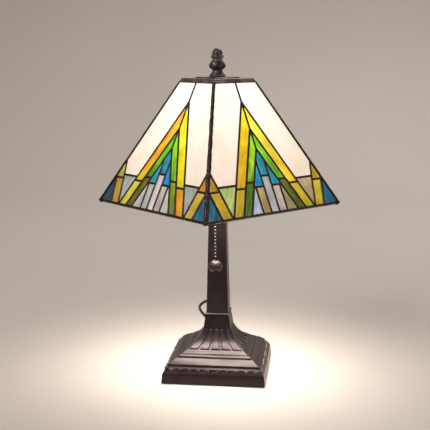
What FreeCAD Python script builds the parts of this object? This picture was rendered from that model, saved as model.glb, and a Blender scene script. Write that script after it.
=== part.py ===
import FreeCAD, Part
import math
import os

from FreeCAD import Matrix, Vector

# Stained glass table lamp. Millimetres, +Z up, -Y is the front of the base.
# The origin is the middle of the base's underside. The shade is a square pyramid of leaded
# glass that hangs from a harp; it is turned on its stud so that a corner points forwards.

# ---- driving dimensions -----------------------------------------------------------------
# Base: half-widths of the square mouldings, each with its height.
PAD_HALF = 60.7
PAD_TOP_HALF = 60.0
PAD_TOP = 11.4
BEAD_LOW = (57.6, 16.0)
BEAD_TOP = (54.9, 19.6)
GROOVE = (53.7, 21.7)
BAND_LOW = ((52.8, 22.4), (45.8, 28.0))
BAND_HIGH = ((43.0, 29.0), (35.5, 33.3))
COVE_FOOT = (34.7, 34.1)
COVE_MIDDLE = (22.9, 42.4)
COVE_HEAD = (16.3, 55.3)
NECK = (14.8, 66.7)
RIDGE_HALF = 14.4
RIDGE_FOOT = 71.2
BASE_TOP = 74.0
FELT = 1.2
WEB = (46.0, 50.0)
FLUTES = 5
FLUTE_DEPTH = 0.8
# Half the gap between two flutes at the cove's foot and at its head
FLUTE_GAP = (1.1, 0.5)

# Column and what stands on it
COLUMN_FOOT_HALF = 13.25
COLUMN_TOP = 192.0
COLUMN_TOP_HALF = 10.1
COLUMN_EDGE = 1.2
ROD_RADIUS = 4.85
ROD_BORE = 3.4
ROD_FOOT = 30.0
CAP_THICK = 3.0
NUT_THICK = 4.0
STRAP_THICK = 1.5
SOCKET_FOOT = COLUMN_TOP + CAP_THICK + NUT_THICK + STRAP_THICK
SHELL_FOOT = 222.0
SHELL_TOP = 264.0
SHELL_RADIUS = 18.0
SEAT = 236.0

# Bulb with a 26 mm screw cap
BULB_CAP_RADIUS = 13.0
BULB_CAP = (238.0, 262.0)
BULB_RADIUS = 24.0
BULB_CENTRE = 300.0
THREAD_CLEARANCE = 0.08

# Harp
HARP_WIRE = 2.0
HARP_FOOT = 22.0
HARP_ROUTE = [(22.0, 204.0), (22.0, 224.0), (42.5, 252.0), (42.5, 292.0), (22.0, 340.0), (0.0, 345.0)]
STUD_RADIUS = 3.175
STUD_TOP = 366.0

# Pull chain
CHAIN_Y = -28.0
CHAIN_OUTLET = 226.0
BEAD_RADIUS = 1.6
BEAD_PITCH = 3.95
CHAIN_TOP = 218.1
KNOB_RADIUS = 8.0
KNOB_CENTRE = 136.0

# Shade
SHADE_YAW = 1.63
SHADE_SIDE = 203.2
SHADE_FOOT = 208.1
SHADE_TOP_SIDE = 64.0
SHADE_TOP = 349.3
LEAD_THICK = 3.6
GLASS_THICK = 2.6
GLASS_SET_BACK = 0.5
LEAD_HALF = 1.35
CORNER_HALF, FOOT_HALF, TOP_HALF = 3.1, 2.6, 1.6
CORNER_RADIUS = 2.6
RIM_RADIUS = 1.8
CAP_TOP = 353.9
CAP_WALL = 1.2
CLAMP_SIDE = 36.0
CLAMP_THICK = 1.4

# Finial: radius at each height above the clamp plate
FINIAL_HEIGHT = 33.0
INSERT_RADIUS = 4.4

# Mains lead
CORD = 3.6
CORD_ROUTE = [
    (0.0, 37.0, 66.0),
    (0.0, 52.0, 66.0),
    (-11.5, 64.0, 67.8),
    (-25.0, 68.5, 66.0),
    (-36.0, 77.0, 54.6),
    (-31.5, 91.0, 40.8),
    (-25.0, 101.0, 29.5),
    (-16.0, 108.5, 20.5),
    (-4.5, 111.5, 14.6),
    (7.8, 109.8, 12.6),
]
LEAD_ROUTE = [(-3.0, 64.3, 1.9), (-13.5, 66.0, 2.8), (-23.0, 71.2, 4.7), (-33.0, 72.0, 5.6)]
INNER_ROUTE = [
    (0.0, 9.4, 66.0),
    (0.0, 8.2, 58.0),
    (0.0, 9.4, 48.0),
    (0.0, 13.0, 38.0),
    (0.0, 20.0, 24.0),
    (0.0, 13.0, 9.0),
    (0.0, 2.0, 10.0),
    (0.0, 0.0, 26.0),
    (0.0, 0.0, 44.0),
    (0.0, 0.6, 74.0),
    (0.0, 0.0, 104.0),
    (0.0, 0.6, 134.0),
    (0.0, 0.0, 164.0),
    (0.0, 0.6, 194.0),
]
COIL_CENTRE = (-0.3, 87.6)
COIL_RADIUS = 20.0
COIL_TURNS_ACROSS = 3
COIL_TURNS_HIGH = 4
PLUG_REAR = (-24.0, 72.0, 5.6)
# Length, thickness and width of a blade, and the distance between the two
PLUG_BLADE = (17.9, 1.5, 6.35, 12.7)

UP = Vector(0, 0, 1)
ORIGIN = Vector(0, 0, 0)


# Inside of the base casting: (half-width, height) from its open foot up to its web.
BASE_HOLLOW = [(0, 0), (57.0, 0), (56.6, 10), (50, 18.5), (40, 27), (31, 31), (23, 36), (16, WEB[0])]


# ---- small helpers ----------------------------------------------------------------------
def save(name, shapes):
    """Write one node: a single solid, or a group of separate ones."""
    if not isinstance(shapes, list):
        shapes = [shapes]
    solids = [solid for shape in shapes for solid in shape.Solids]
    assert solids, name
    shape = solids[0] if len(solids) == 1 else Part.makeCompound(solids)
    assert shape.isValid(), name
    shape.exportStep("parts/%s.step" % name)
    return shape


def cylinder(radius, foot, top, x=0.0, y=0.0):
    return Part.makeCylinder(radius, top - foot, Vector(x, y, foot), UP)


def square(half, foot, top):
    return Part.makeBox(2 * half, 2 * half, top - foot, Vector(-half, -half, foot))


def outline_face(points, across):
    """Flat face from (half-width, height) points along a direction; an item of three is an arc's middle."""
    edges = []
    last = None
    middle = None
    for item in points + points[:1]:
        here = across * item[0] + UP * item[1]
        if len(item) == 3:
            middle = here
            continue
        if last is not None and last.distanceToPoint(here) > 1e-9:
            if middle is None:
                edges.append(Part.LineSegment(last, here).toShape())
            else:
                edges.append(Part.Arc(last, middle, here).toShape())
        last = here
        middle = None
    return Part.Face(Part.Wire(edges))


def turned(points):
    """Solid of revolution from (radius, height) points."""
    return outline_face(points, Vector(1, 0, 0)).revolve(ORIGIN, UP, 360)


def moulded(points, reach=90.0):
    """Square solid with mitred corners, all four sides having one (half-width, height) outline."""
    face = outline_face(points, Vector(0, 1, 0))
    face.translate(Vector(-reach, 0, 0))
    prism = face.extrude(Vector(2 * reach, 0, 0))
    corners = [Vector(0, 0, -5), Vector(-reach, reach, -5), Vector(reach, reach, -5)]
    wedge = Part.Face(Part.makePolygon(corners + corners[:1])).extrude(Vector(0, 0, 500))
    quarters = four(prism.common(wedge))
    return quarters[0].multiFuse(quarters[1:]).removeSplitter()


def four(shape, yaw=0.0):
    """The shape at each of the four sides."""
    copies = []
    for side in range(4):
        copy = shape.copy()
        copy.rotate(ORIGIN, UP, yaw + 90 * side)
        copies.append(copy)
    return copies


def rounded_route(points, ratio=0.45):
    """Straight runs joined by tangent arcs, each as large as its two runs allow."""
    corners = [Vector(*p) for p in points]
    edges = []
    radii = []
    start = corners[0]
    for before, corner, after in zip(corners, corners[1:], corners[2:]):
        back = (before - corner).normalize()
        ahead = (after - corner).normalize()
        turn = math.pi - back.getAngle(ahead)
        short = min((before - corner).Length, (after - corner).Length)
        radius = ratio * short / math.tan(turn / 2)
        radii.append(radius)
        arc_in = corner + back * (ratio * short)
        arc_out = corner + ahead * (ratio * short)
        inward = (back + ahead).normalize()
        centre = corner + inward * (radius / math.cos(turn / 2))
        middle = centre - inward * radius
        edges.append(Part.LineSegment(start, arc_in).toShape())
        edges.append(Part.Arc(arc_in, middle, arc_out).toShape())
        start = arc_out
    edges.append(Part.LineSegment(start, corners[-1]).toShape())
    return Part.Wire(edges), radii


def tube(points, radius, name):
    """Round solid along a route, with its radii printed and its volume tested."""
    wire, radii = rounded_route(points)
    way = Vector(*points[1]) - Vector(*points[0])
    ring = Part.Wire(Part.makeCircle(radius, Vector(*points[0]), way))
    solid = wire.makePipeShell([ring], True, False)
    share = solid.Volume / (math.pi * radius**2 * wire.Length)
    print("%s: length %.1f, radii %s" % (name, wire.Length, ["%.1f" % r for r in radii]))
    assert abs(share - 1) < 0.02, (name, share)
    return solid


# ---- base -------------------------------------------------------------------------------
def flute_grooves():
    """The narrow cuts between the raised, tapering flutes of each side's cove."""
    outer = [COVE_FOOT, (COVE_MIDDLE[0], COVE_MIDDLE[1], "arc"), COVE_HEAD]
    drop = FLUTE_DEPTH / math.sqrt(2)
    inner = [(p[0] - drop, p[1] - drop) + tuple(p[2:]) for p in outer]
    foot, middle, head = (Vector(0, p[0], p[1]) for p in inner)
    far_head = Vector(0, COVE_HEAD[0] + 6, COVE_HEAD[1] - drop)
    far_foot = Vector(0, COVE_FOOT[0] + 2, COVE_FOOT[1] - drop + 3)
    edges = [
        Part.Arc(foot, middle, head).toShape(),
        Part.LineSegment(head, far_head).toShape(),
        Part.LineSegment(far_head, far_foot).toShape(),
        Part.LineSegment(far_foot, foot).toShape(),
    ]
    face = Part.Face(Part.Wire(edges))
    face.translate(Vector(-50, 0, 0))
    band = face.extrude(Vector(100, 0, 0))
    grooves = []
    wide, narrow = FLUTE_GAP
    for step in range(1, FLUTES):
        share = 2 * step / FLUTES - 1
        outline = [
            Vector(share * COVE_FOOT[0] * 0.96 - wide, COVE_FOOT[0] + 3, 0),
            Vector(share * COVE_FOOT[0] * 0.96 + wide, COVE_FOOT[0] + 3, 0),
            Vector(share * COVE_HEAD[0] * 0.9 + narrow, COVE_HEAD[0] - 3, 0),
            Vector(share * COVE_HEAD[0] * 0.9 - narrow, COVE_HEAD[0] - 3, 0),
        ]
        wedge = Part.Face(Part.makePolygon(outline + outline[:1])).extrude(Vector(0, 0, 80))
        grooves.append(band.common(wedge))
    return grooves


def base_casting():
    outline = [
        (0, FELT),
        (PAD_HALF, FELT),
        (PAD_TOP_HALF, PAD_TOP),
        (PAD_TOP_HALF - 0.4, PAD_TOP + 3.0, "arc"),
        BEAD_LOW,
        BEAD_TOP,
        (GROOVE[0], BEAD_TOP[1]),
        GROOVE,
        BAND_LOW[0],
        BAND_LOW[1],
        (BAND_HIGH[0][0], BAND_LOW[1][1]),
        BAND_HIGH[0],
        BAND_HIGH[1],
        COVE_FOOT,
        (COVE_MIDDLE[0], COVE_MIDDLE[1], "arc"),
        COVE_HEAD,
        NECK,
        (COLUMN_FOOT_HALF + 0.4, RIDGE_FOOT),
        (RIDGE_HALF, (RIDGE_FOOT + BASE_TOP) / 2, "arc"),
        (COLUMN_FOOT_HALF + 0.4, BASE_TOP),
        (0, BASE_TOP),
    ]
    body = moulded(outline)
    body = body.cut(moulded(BASE_HOLLOW + [(0, WEB[0])]))
    body = body.cut(square(11.0, WEB[1], 70.6))
    body = body.cut(cylinder(ROD_RADIUS + 0.15, 40, 80))
    body = body.cut(cylinder(3.0, 40, 56, y=9.6))
    body = body.cut(Part.makeCylinder(3.3, 12, Vector(0, 8, 66), Vector(0, 1, 0)))
    for groove in flute_grooves():
        for copy in four(groove):
            body = body.cut(copy)
    return body


def base_felt():
    pad = square(PAD_HALF - 0.7, 0, FELT)
    upright = [e for e in pad.Edges if abs(e.Vertexes[0].Z - e.Vertexes[1].Z) > FELT / 2]
    return pad.makeFillet(2.0, upright)


def column():
    """Tapered square post with eased edges and a bore for the rod."""
    ends = []
    for half, height in ((COLUMN_FOOT_HALF, BASE_TOP), (COLUMN_TOP_HALF, COLUMN_TOP)):
        ease = COLUMN_EDGE * half / COLUMN_FOOT_HALF
        corners = []
        for sx, sy in ((1, -1), (1, 1), (-1, 1), (-1, -1)):
            first = Vector(sx * half, sy * (half - ease), height)
            second = Vector(sx * (half - ease), sy * half, height)
            corners += [first, second] if sx * sy > 0 else [second, first]
        ends.append(Part.makePolygon(corners + corners[:1]))
    post = Part.makeLoft(ends, True, True)
    return post.cut(cylinder(ROD_RADIUS + 0.15, BASE_TOP - 1, COLUMN_TOP + 1))


def column_cap():
    foot, top = COLUMN_TOP, COLUMN_TOP + CAP_THICK
    outline = [(0, foot), (12.2, foot), (12.2, foot + 1.2), (10.6, top), (0, top)]
    return moulded(outline).cut(cylinder(ROD_RADIUS + 0.15, foot - 1, top + 1))


def threaded_rod():
    top = SOCKET_FOOT + 7
    rod = cylinder(ROD_RADIUS, ROD_FOOT, top).cut(cylinder(ROD_BORE, ROD_FOOT - 1, top + 1))
    ends = [e for e in rod.Edges if isinstance(e.Curve, Part.Circle) and e.Curve.Radius > 4]
    return rod.makeChamfer(0.4, ends)


def hex_nut(foot, thick, across=15.0):
    corners = [Vector(across / math.sqrt(3), 0, foot)]
    for step in range(6):
        angle = math.radians(60 * (step + 1))
        corners.append(Vector(math.cos(angle), math.sin(angle), 0) * (across / math.sqrt(3)) + UP * foot)
    nut = Part.Face(Part.makePolygon(corners)).extrude(UP * thick)
    nut = nut.common(turned([(0, foot), (across / 2 + 0.2, foot), (across / 2 + 1, foot + 0.8),
                             (across / 2 + 1, foot + thick - 0.8), (across / 2 + 0.2, foot + thick),
                             (0, foot + thick)]))
    return nut.cut(cylinder(ROD_RADIUS, foot - 1, foot + thick + 1))


def rod_washer():
    return cylinder(11.0, WEB[0] - 1.6, WEB[0]).cut(cylinder(ROD_RADIUS + 0.15, 30, 60)).cut(
        cylinder(3.0, 30, 60, y=9.6))


# ---- socket, harp -----------------------------------------------------------------------
def socket_parts():
    foot = SOCKET_FOOT
    cap = turned([
        (ROD_RADIUS, foot), (7.5, foot), (7.5, foot + 5), (12.5, foot + 8), (17.2, foot + 15.5, "arc"),
        (SHELL_RADIUS, SHELL_FOOT), (SHELL_RADIUS - 0.8, SHELL_FOOT), (16.2, foot + 16.2, "arc"),
        (12.0, foot + 9.0), (ROD_RADIUS, foot + 7)])
    hole = Part.makeCylinder(4.6, 12, Vector(0, CHAIN_Y + 8, CHAIN_OUTLET + 4), Vector(0, 1, 0))
    shell = turned([
        (SHELL_RADIUS, SHELL_FOOT),
        (SHELL_RADIUS, SHELL_TOP - 2.4),
        (SHELL_RADIUS + 0.9, SHELL_TOP - 1.2, "arc"),
        (SHELL_RADIUS, SHELL_TOP),
        (SHELL_RADIUS - 0.8, SHELL_TOP),
        (SHELL_RADIUS - 0.8, SHELL_FOOT),
    ]).cut(hole)
    liner = turned([
        (SHELL_RADIUS - 0.9, SHELL_FOOT + 1), (SHELL_RADIUS - 0.9, SHELL_TOP - 0.5),
        (SHELL_RADIUS - 1.9, SHELL_TOP - 0.5), (SHELL_RADIUS - 1.9, SHELL_FOOT + 1)]).cut(hole)
    body = turned([
        (0, 212.5), (11.5, 212.5), (15.6, 221), (15.6, SEAT - 0.4), (0, SEAT - 0.4)])
    body = body.cut(cylinder(1.6, 205, SEAT - 4))
    inner = BULB_CAP_RADIUS + THREAD_CLEARANCE
    screw = turned([
        (7.0, SEAT - 0.4), (inner + 0.6, SEAT - 0.4), (inner + 0.6, SHELL_TOP - 4), (inner, SHELL_TOP - 4),
        (inner, SEAT + 0.2), (7.0, SEAT + 0.2)])
    contact = turned([(0, SEAT - 0.4), (4.5, SEAT - 0.4), (4.5, SEAT), (0, SEAT)])
    # The chain comes out through a side barrel and turns down through a small bell.
    barrel = Part.makeCylinder(4.5, 16, Vector(0, CHAIN_Y - 4.5 + 0.2, CHAIN_OUTLET + 4), Vector(0, 1, 0))
    bell = turned([
        (0, 217.5),
        (4.6, 217.5),
        (3.6, 221.5, "arc"),
        (3.4, CHAIN_OUTLET + 4),
        (0, CHAIN_OUTLET + 4),
    ])
    bell.translate(Vector(0, CHAIN_Y, 0))
    outlet = barrel.fuse(bell)
    bore = turned([
        (0, 217),
        (3.4, 217),
        (2.2, 221, "arc"),
        (2.2, CHAIN_OUTLET + 5.5),
        (0, CHAIN_OUTLET + 5.5),
    ])
    bore.translate(Vector(0, CHAIN_Y, 0))
    outlet = outlet.cut(bore)
    outlet = outlet.cut(cylinder(15.7, 215, SEAT + 2))
    return cap, shell, liner, body, screw, contact, outlet


def harp_saddle():
    """Strip with two upturned ears that hold the harp's ends."""
    foot = COLUMN_TOP + CAP_THICK + NUT_THICK
    strip = Part.makeBox(2 * HARP_FOOT + 6, 12, STRAP_THICK, Vector(-HARP_FOOT - 3, -6, foot))
    ears = []
    for side in (-1, 1):
        ear = cylinder(3.6, foot, foot + 9, x=side * HARP_FOOT)
        ears.append(ear.cut(cylinder(HARP_WIRE, foot + 2.5, foot + 10, x=side * HARP_FOOT)))
    solid = strip.fuse(ears[0]).fuse(ears[1])
    for side in (-1, 1):
        solid = solid.cut(cylinder(HARP_WIRE, foot + 2.5, foot + 12, x=side * HARP_FOOT))
    return solid.cut(cylinder(ROD_RADIUS + 0.15, foot - 1, foot + 4))


def harp():
    """Wire loop from ear to ear, round the bulb."""
    right = [(x, 0.0, z) for x, z in HARP_ROUTE]
    route = right[:-1] + [(-x, 0.0, z) for x, _, z in right[:-1]][::-1]
    return tube(route, HARP_WIRE, "harp")


def harp_ferrules():
    foot = COLUMN_TOP + CAP_THICK + NUT_THICK + 9
    rings = []
    for side in (-1, 1):
        ring = cylinder(3.6, foot + 0.3, foot + 5.8, x=side * HARP_FOOT)
        rings.append(ring.cut(cylinder(HARP_WIRE, foot, foot + 9, x=side * HARP_FOOT)))
    return rings


def harp_stud(loop):
    seat = CAP_TOP - CAP_WALL
    stud = turned([
        (0, 336.5), (4.5, 336.5), (4.5, 345), (7.5, seat - 2.2), (7.5, seat), (STUD_RADIUS, seat),
        (STUD_RADIUS, STUD_TOP - 0.6), (STUD_RADIUS - 0.6, STUD_TOP), (0, STUD_TOP)])
    return stud.cut(loop)


# ---- bulb, chain ------------------------------------------------------------------------
def bulb_parts():
    foot, top = BULB_CAP
    r = BULB_CAP_RADIUS
    cap = turned([
        (9.0, foot),
        (r - 1.5, foot),
        (r, foot + 1.5),
        (r, top),
        (r - 0.4, top),
        (r - 0.4, foot + 1.7),
        (r - 1.7, foot + 0.4),
        (9.0, foot + 0.4),
    ])
    insulator = turned([(0, foot - 1.2), (6.0, foot - 1.2), (9.0, foot), (9.0, foot + 0.4), (0, foot + 0.4)])
    tip = turned([(0, SEAT + 0.1), (3.2, SEAT + 0.1), (4.6, foot - 1.2), (0, foot - 1.2)])
    neck = r - 0.45
    waist = BULB_CENTRE - 17.5
    side = math.sqrt(BULB_RADIUS**2 - (BULB_CENTRE - waist) ** 2)
    inner_side = math.sqrt((BULB_RADIUS - 0.8) ** 2 - (BULB_CENTRE - waist) ** 2)
    glass = turned([
        (0, top - 10), (neck, top - 10), (neck, top), (13.6, top + 9, "arc"), (side, waist),
        (BULB_RADIUS, BULB_CENTRE, "arc"), (0, BULB_CENTRE + BULB_RADIUS),
        (0, BULB_CENTRE + BULB_RADIUS - 0.8),
        (BULB_RADIUS - 0.8, BULB_CENTRE, "arc"), (inner_side, waist), (12.8, top + 9, "arc"),
        (neck - 0.8, top), (neck - 0.8, top - 9.2), (0, top - 9.2)])
    return cap, insulator, tip, glass


def bead_string(heights, ends):
    """Round beads on a thin wire, as one solid of revolution."""
    wire = 0.45
    half = math.sqrt(BEAD_RADIUS**2 - wire**2)
    top, foot = ends
    points = [(0, top), (wire, top)]
    for height in heights:
        points += [(wire, height + half), (BEAD_RADIUS, height, "arc"), (wire, height - half)]
    points += [(wire, foot), (0, foot)]
    chain = turned(points)
    chain.translate(Vector(0, CHAIN_Y, 0))
    return chain


def chain_parts():
    upper = [CHAIN_TOP + BEAD_PITCH * step for step in (2, 1)]
    link = bead_string(upper, (CHAIN_OUTLET + 2.0, upper[-1] - 2.0))
    heights = []
    height = CHAIN_TOP
    while height > KNOB_CENTRE + KNOB_RADIUS + 2.5:
        heights.append(height)
        height -= BEAD_PITCH
    chain = bead_string(heights, (CHAIN_TOP + 1.7, KNOB_CENTRE + KNOB_RADIUS + 0.6))
    top = KNOB_CENTRE + KNOB_RADIUS
    neck = 2.6
    low = KNOB_CENTRE + math.sqrt(KNOB_RADIUS**2 - neck**2)
    knob = turned([(0, KNOB_CENTRE - KNOB_RADIUS), (KNOB_RADIUS, KNOB_CENTRE, "arc"), (neck, low),
                   (neck - 0.5, top + 0.6), (0, top + 0.6)])
    knob.translate(Vector(0, CHAIN_Y, 0))
    return link, chain, knob


# ---- shade ------------------------------------------------------------------------------
RUN = (SHADE_SIDE - SHADE_TOP_SIDE) / 2
RISE = SHADE_TOP - SHADE_FOOT
SLANT = math.hypot(RUN, RISE)


def panel_matrix():
    """Takes (across, up the slope, outwards) to the panel that faces -Y before it is turned."""
    slope = Vector(0, RUN / SLANT, RISE / SLANT)
    out = Vector(0, -RISE / SLANT, RUN / SLANT)
    foot = Vector(0, -SHADE_SIDE / 2, SHADE_FOOT)
    return Matrix(1, slope.x, out.x, foot.x, 0, slope.y, out.y, foot.y, 0, slope.z, out.z, foot.z, 0, 0, 0, 1)


def side_at(height):
    """Half-width of a panel at a distance up its slope."""
    return SHADE_SIDE / 2 - RUN * height / SLANT


def between(foot, tip, height):
    """Where the slanting line from (foot, 0) to (0, tip) is at a height."""
    return (foot * (1 - height / tip), height)


def along(low, high, height):
    """Where the line through two corners is at a height."""
    share = (height - low[1]) / (high[1] - low[1])
    return (low[0] + share * (high[0] - low[0]), height)


# The pattern of one panel: each piece is a polygon of (across, up the slope) corners that lie
# on the middles of the lead lines. Pieces off the centre line are mirrored.
TOP = SLANT
CHEVRON_TIP, AMBER_TIP, GREEN_TIP = 134.0, 101.0, 77.0
CHEVRON_FOOT, AMBER_FOOT, GREEN_FOOT = 62.0, 48.0, 36.0
AMBER_BREAK, GREEN_BREAK, STRIP_BREAK, KITE_BREAK = 33.0, 39.0, 45.0, 37.5
STRIP, STRIP_OUTER = 6.0, 18.0
STRIP_TIP = (STRIP, 64.2)
BLUE_EDGE = (20.6, AMBER_BREAK)
KITE_TOP, KITE_LOW, KITE_INNER = (76.4, 58.0), (70.8, KITE_BREAK), (45.5, KITE_BREAK)
CORNER_LINE = (76.5, 0.0)
CORNER_PEAK = (side_at(36.9), 36.9)


def pattern():
    chevron_foot = (CHEVRON_FOOT, 0.0)
    band_inner = along(chevron_foot, KITE_TOP, AMBER_BREAK)
    band_outer = along(CORNER_LINE, CORNER_PEAK, AMBER_BREAK)
    pieces = {
        "white": [
            [(0, TOP), (0, CHEVRON_TIP), KITE_INNER, KITE_LOW, KITE_TOP, (side_at(TOP), TOP)],
        ],
        "amber": [
            [(0, CHEVRON_TIP), (0, AMBER_TIP), between(AMBER_FOOT, AMBER_TIP, AMBER_BREAK),
             between(CHEVRON_FOOT, CHEVRON_TIP, AMBER_BREAK)],
            [between(AMBER_FOOT, AMBER_TIP, AMBER_BREAK), (AMBER_FOOT, 0), (CHEVRON_FOOT, 0),
             between(CHEVRON_FOOT, CHEVRON_TIP, AMBER_BREAK)],
            [KITE_TOP, band_inner, band_outer, CORNER_PEAK],
            [band_inner, chevron_foot, CORNER_LINE, band_outer],
        ],
        "green": [
            [(0, AMBER_TIP), (0, GREEN_TIP), between(GREEN_FOOT, GREEN_TIP, GREEN_BREAK),
             between(AMBER_FOOT, AMBER_TIP, GREEN_BREAK)],
            [between(GREEN_FOOT, GREEN_TIP, GREEN_BREAK), (GREEN_FOOT, 0), (AMBER_FOOT, 0),
             between(AMBER_FOOT, AMBER_TIP, GREEN_BREAK)],
        ],
        "blue": [
            [(0, GREEN_TIP), (-STRIP, STRIP_TIP[1]), (-STRIP, STRIP_BREAK), (STRIP, STRIP_BREAK), STRIP_TIP],
            [STRIP_TIP, (STRIP, AMBER_BREAK), BLUE_EDGE],
            [CORNER_LINE, (side_at(0), 0), CORNER_PEAK],
        ],
        "streaky": [
            [(-STRIP, STRIP_BREAK), (-STRIP, 0), (STRIP, 0), (STRIP, STRIP_BREAK)],
            [(STRIP, AMBER_BREAK), (STRIP, 0), (STRIP_OUTER, 0), (STRIP_OUTER, AMBER_BREAK)],
            [(STRIP_OUTER, AMBER_BREAK), (STRIP_OUTER, 0), (GREEN_FOOT, 0), BLUE_EDGE],
            [KITE_INNER, chevron_foot, KITE_LOW],
        ],
    }
    for shapes in pieces.values():
        for shape in list(shapes):
            if min(x for x, _ in shape) >= 0:
                shapes.append([(-x, y) for x, y in reversed(shape)])
    return pieces


def edge_inset(a, b):
    """Half the width of the lead along an edge: more at the corners, the foot and the top."""
    def on_corner(p):
        return abs(abs(p[0]) - side_at(p[1])) < 0.05
    if on_corner(a) and on_corner(b) and abs(a[1] - b[1]) > 1:
        return CORNER_HALF
    if a[1] < 0.01 and b[1] < 0.01:
        return FOOT_HALF
    if a[1] > TOP - 0.01 and b[1] > TOP - 0.01:
        return TOP_HALF
    return LEAD_HALF


def inset(shape):
    """Move each edge of a polygon inwards by its own amount."""
    area = sum(a[0] * b[1] - b[0] * a[1] for a, b in zip(shape, shape[1:] + shape[:1]))
    turn = 1 if area > 0 else -1
    lines = []
    for a, b in zip(shape, shape[1:] + shape[:1]):
        dx, dy = b[0] - a[0], b[1] - a[1]
        length = math.hypot(dx, dy)
        nx, ny = -turn * dy / length, turn * dx / length
        lines.append((nx, ny, nx * a[0] + ny * a[1] + edge_inset(a, b)))
    corners = []
    for first, second in zip(lines[-1:] + lines[:-1], lines):
        det = first[0] * second[1] - second[0] * first[1]
        corners.append(((first[2] * second[1] - second[2] * first[1]) / det,
                        (first[0] * second[2] - second[0] * first[2]) / det))
    return corners


def slab(outline, outer, thick):
    """Plate in panel coordinates with its outer face at a given height."""
    corners = [Vector(x, y, outer) for x, y in outline]
    face = Part.Face(Part.makePolygon(corners + corners[:1]))
    return face.extrude(Vector(0, 0, -thick)).transformGeometry(panel_matrix())


def on_side(shape, side):
    copy = shape.copy()
    copy.rotate(ORIGIN, UP, SHADE_YAW - 45 + 90 * side)
    return copy


def shade_parts():
    pieces = {colour: [inset(p) for p in shapes] for colour, shapes in pattern().items()}
    half = SHADE_SIDE / 2
    lead = slab([(-half - 9, 1.4), (half + 9, 1.4), (30, TOP + 8), (-30, TOP + 8)], 0, LEAD_THICK)
    reach = 200.0
    wedge = [Vector(0, 0, 150), Vector(-reach, -reach, 150), Vector(reach, -reach, 150)]
    wedge += wedge[:1]
    lead = lead.common(Part.Face(Part.makePolygon(wedge)).extrude(Vector(0, 0, SHADE_TOP - 150)))
    for shapes in pieces.values():
        for outline in shapes:
            lead = lead.cut(slab(outline, 1, LEAD_THICK + 2))
    corner_foot = Vector(-half, -half, SHADE_FOOT)
    corner_top = Vector(-SHADE_TOP_SIDE / 2, -SHADE_TOP_SIDE / 2, SHADE_TOP)
    ridge = corner_top - corner_foot
    seat = Vector(1, 1, 0).normalize() * 1.8
    length = ridge.Length + 6
    bead = Part.makeCylinder(CORNER_RADIUS, length, corner_foot + seat - ridge.normalize() * 3, ridge)
    bead = bead.common(Part.makeBox(400, 400, SHADE_TOP - SHADE_FOOT, Vector(-200, -200, SHADE_FOOT)))
    rim_seat = Vector(0, -half + 1.6, SHADE_FOOT + 0.9)
    rod = Part.makeCylinder(RIM_RADIUS, 2 * reach, rim_seat - Vector(reach, 0, 0), Vector(1, 0, 0))
    rod = rod.common(Part.Face(Part.makePolygon(wedge)).extrude(Vector(0, 0, 200)))
    beads = four(bead)
    for other in (beads[0], beads[1]):
        rod = rod.cut(other)
    lead = lead.cut(rod).cut(beads[0]).cut(beads[1])
    glass = {}
    for colour, shapes in pieces.items():
        panes = [slab(outline, -GLASS_SET_BACK, GLASS_THICK) for outline in shapes]
        glass[colour] = [pane.cut(beads[0]).cut(beads[1]).cut(rod) for pane in panes]
    return lead, bead, rod, glass


def shade_cap():
    """Low sheet-metal cap that closes the top of the shade, with a hole for the stud."""
    low, high = SHADE_TOP_SIDE / 2, SHADE_TOP_SIDE / 2 - (CAP_TOP - SHADE_TOP) * RUN / RISE
    outer = [(0, SHADE_TOP), (low, SHADE_TOP), (high, CAP_TOP), (0, CAP_TOP)]
    ceiling = CAP_TOP - CAP_WALL
    inner = [(0, SHADE_TOP - 1), (low - 1.9, SHADE_TOP - 1), (high - 1.6, ceiling), (0, ceiling)]
    cap = moulded(outer).cut(moulded(inner))
    cap = cap.cut(cylinder(STUD_RADIUS + 0.09, SHADE_TOP - 2, CAP_TOP + 2))
    cap.rotate(ORIGIN, UP, SHADE_YAW + 45)
    return cap


def clamp_plate():
    plate = square(CLAMP_SIDE / 2, CAP_TOP, CAP_TOP + CLAMP_THICK)
    upper = [e for e in plate.Edges if min(v.Z for v in e.Vertexes) > CAP_TOP + CLAMP_THICK / 2]
    plate = plate.makeChamfer(0.4, upper)
    plate = plate.cut(cylinder(STUD_RADIUS + 0.09, CAP_TOP - 1, CAP_TOP + 3))
    plate.rotate(ORIGIN, UP, SHADE_YAW + 45)
    return plate


def finial_parts():
    foot = CAP_TOP + CLAMP_THICK
    insert = turned([(STUD_RADIUS + 0.05, foot + 0.05), (INSERT_RADIUS, foot + 0.05),
                     (INSERT_RADIUS, foot + 12), (STUD_RADIUS + 0.05, foot + 12)])
    bore = INSERT_RADIUS + 0.05
    # The tip is a ball whose centre is on the axis.
    top = foot + FINIAL_HEIGHT
    tip_foot = 5.3
    rise = FINIAL_HEIGHT - 26.4
    tip = (tip_foot**2 + rise**2) / (2 * rise)
    half_way = (math.pi / 2 - math.asin((rise - tip) / tip)) / 2
    body = turned([
        (bore, foot), (8.2, foot), (9.15, foot + 1.5), (6.2, foot + 4.6, "arc"), (5.6, foot + 7.0),
        (8.0, foot + 9.2, "arc"), (9.3, foot + 12.9), (8.4, foot + 16.6, "arc"), (5.7, foot + 19.6),
        (7.3, foot + 22.0), (7.4, foot + 23.0), (7.0, foot + 24.0), (5.4, foot + 25.6),
        (tip_foot, foot + 26.4),
        (tip * math.cos(half_way), top - tip + tip * math.sin(half_way), "arc"), (0, top),
        (0, foot + 12.2), (bore, foot + 12.2)])
    return insert, body


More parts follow.
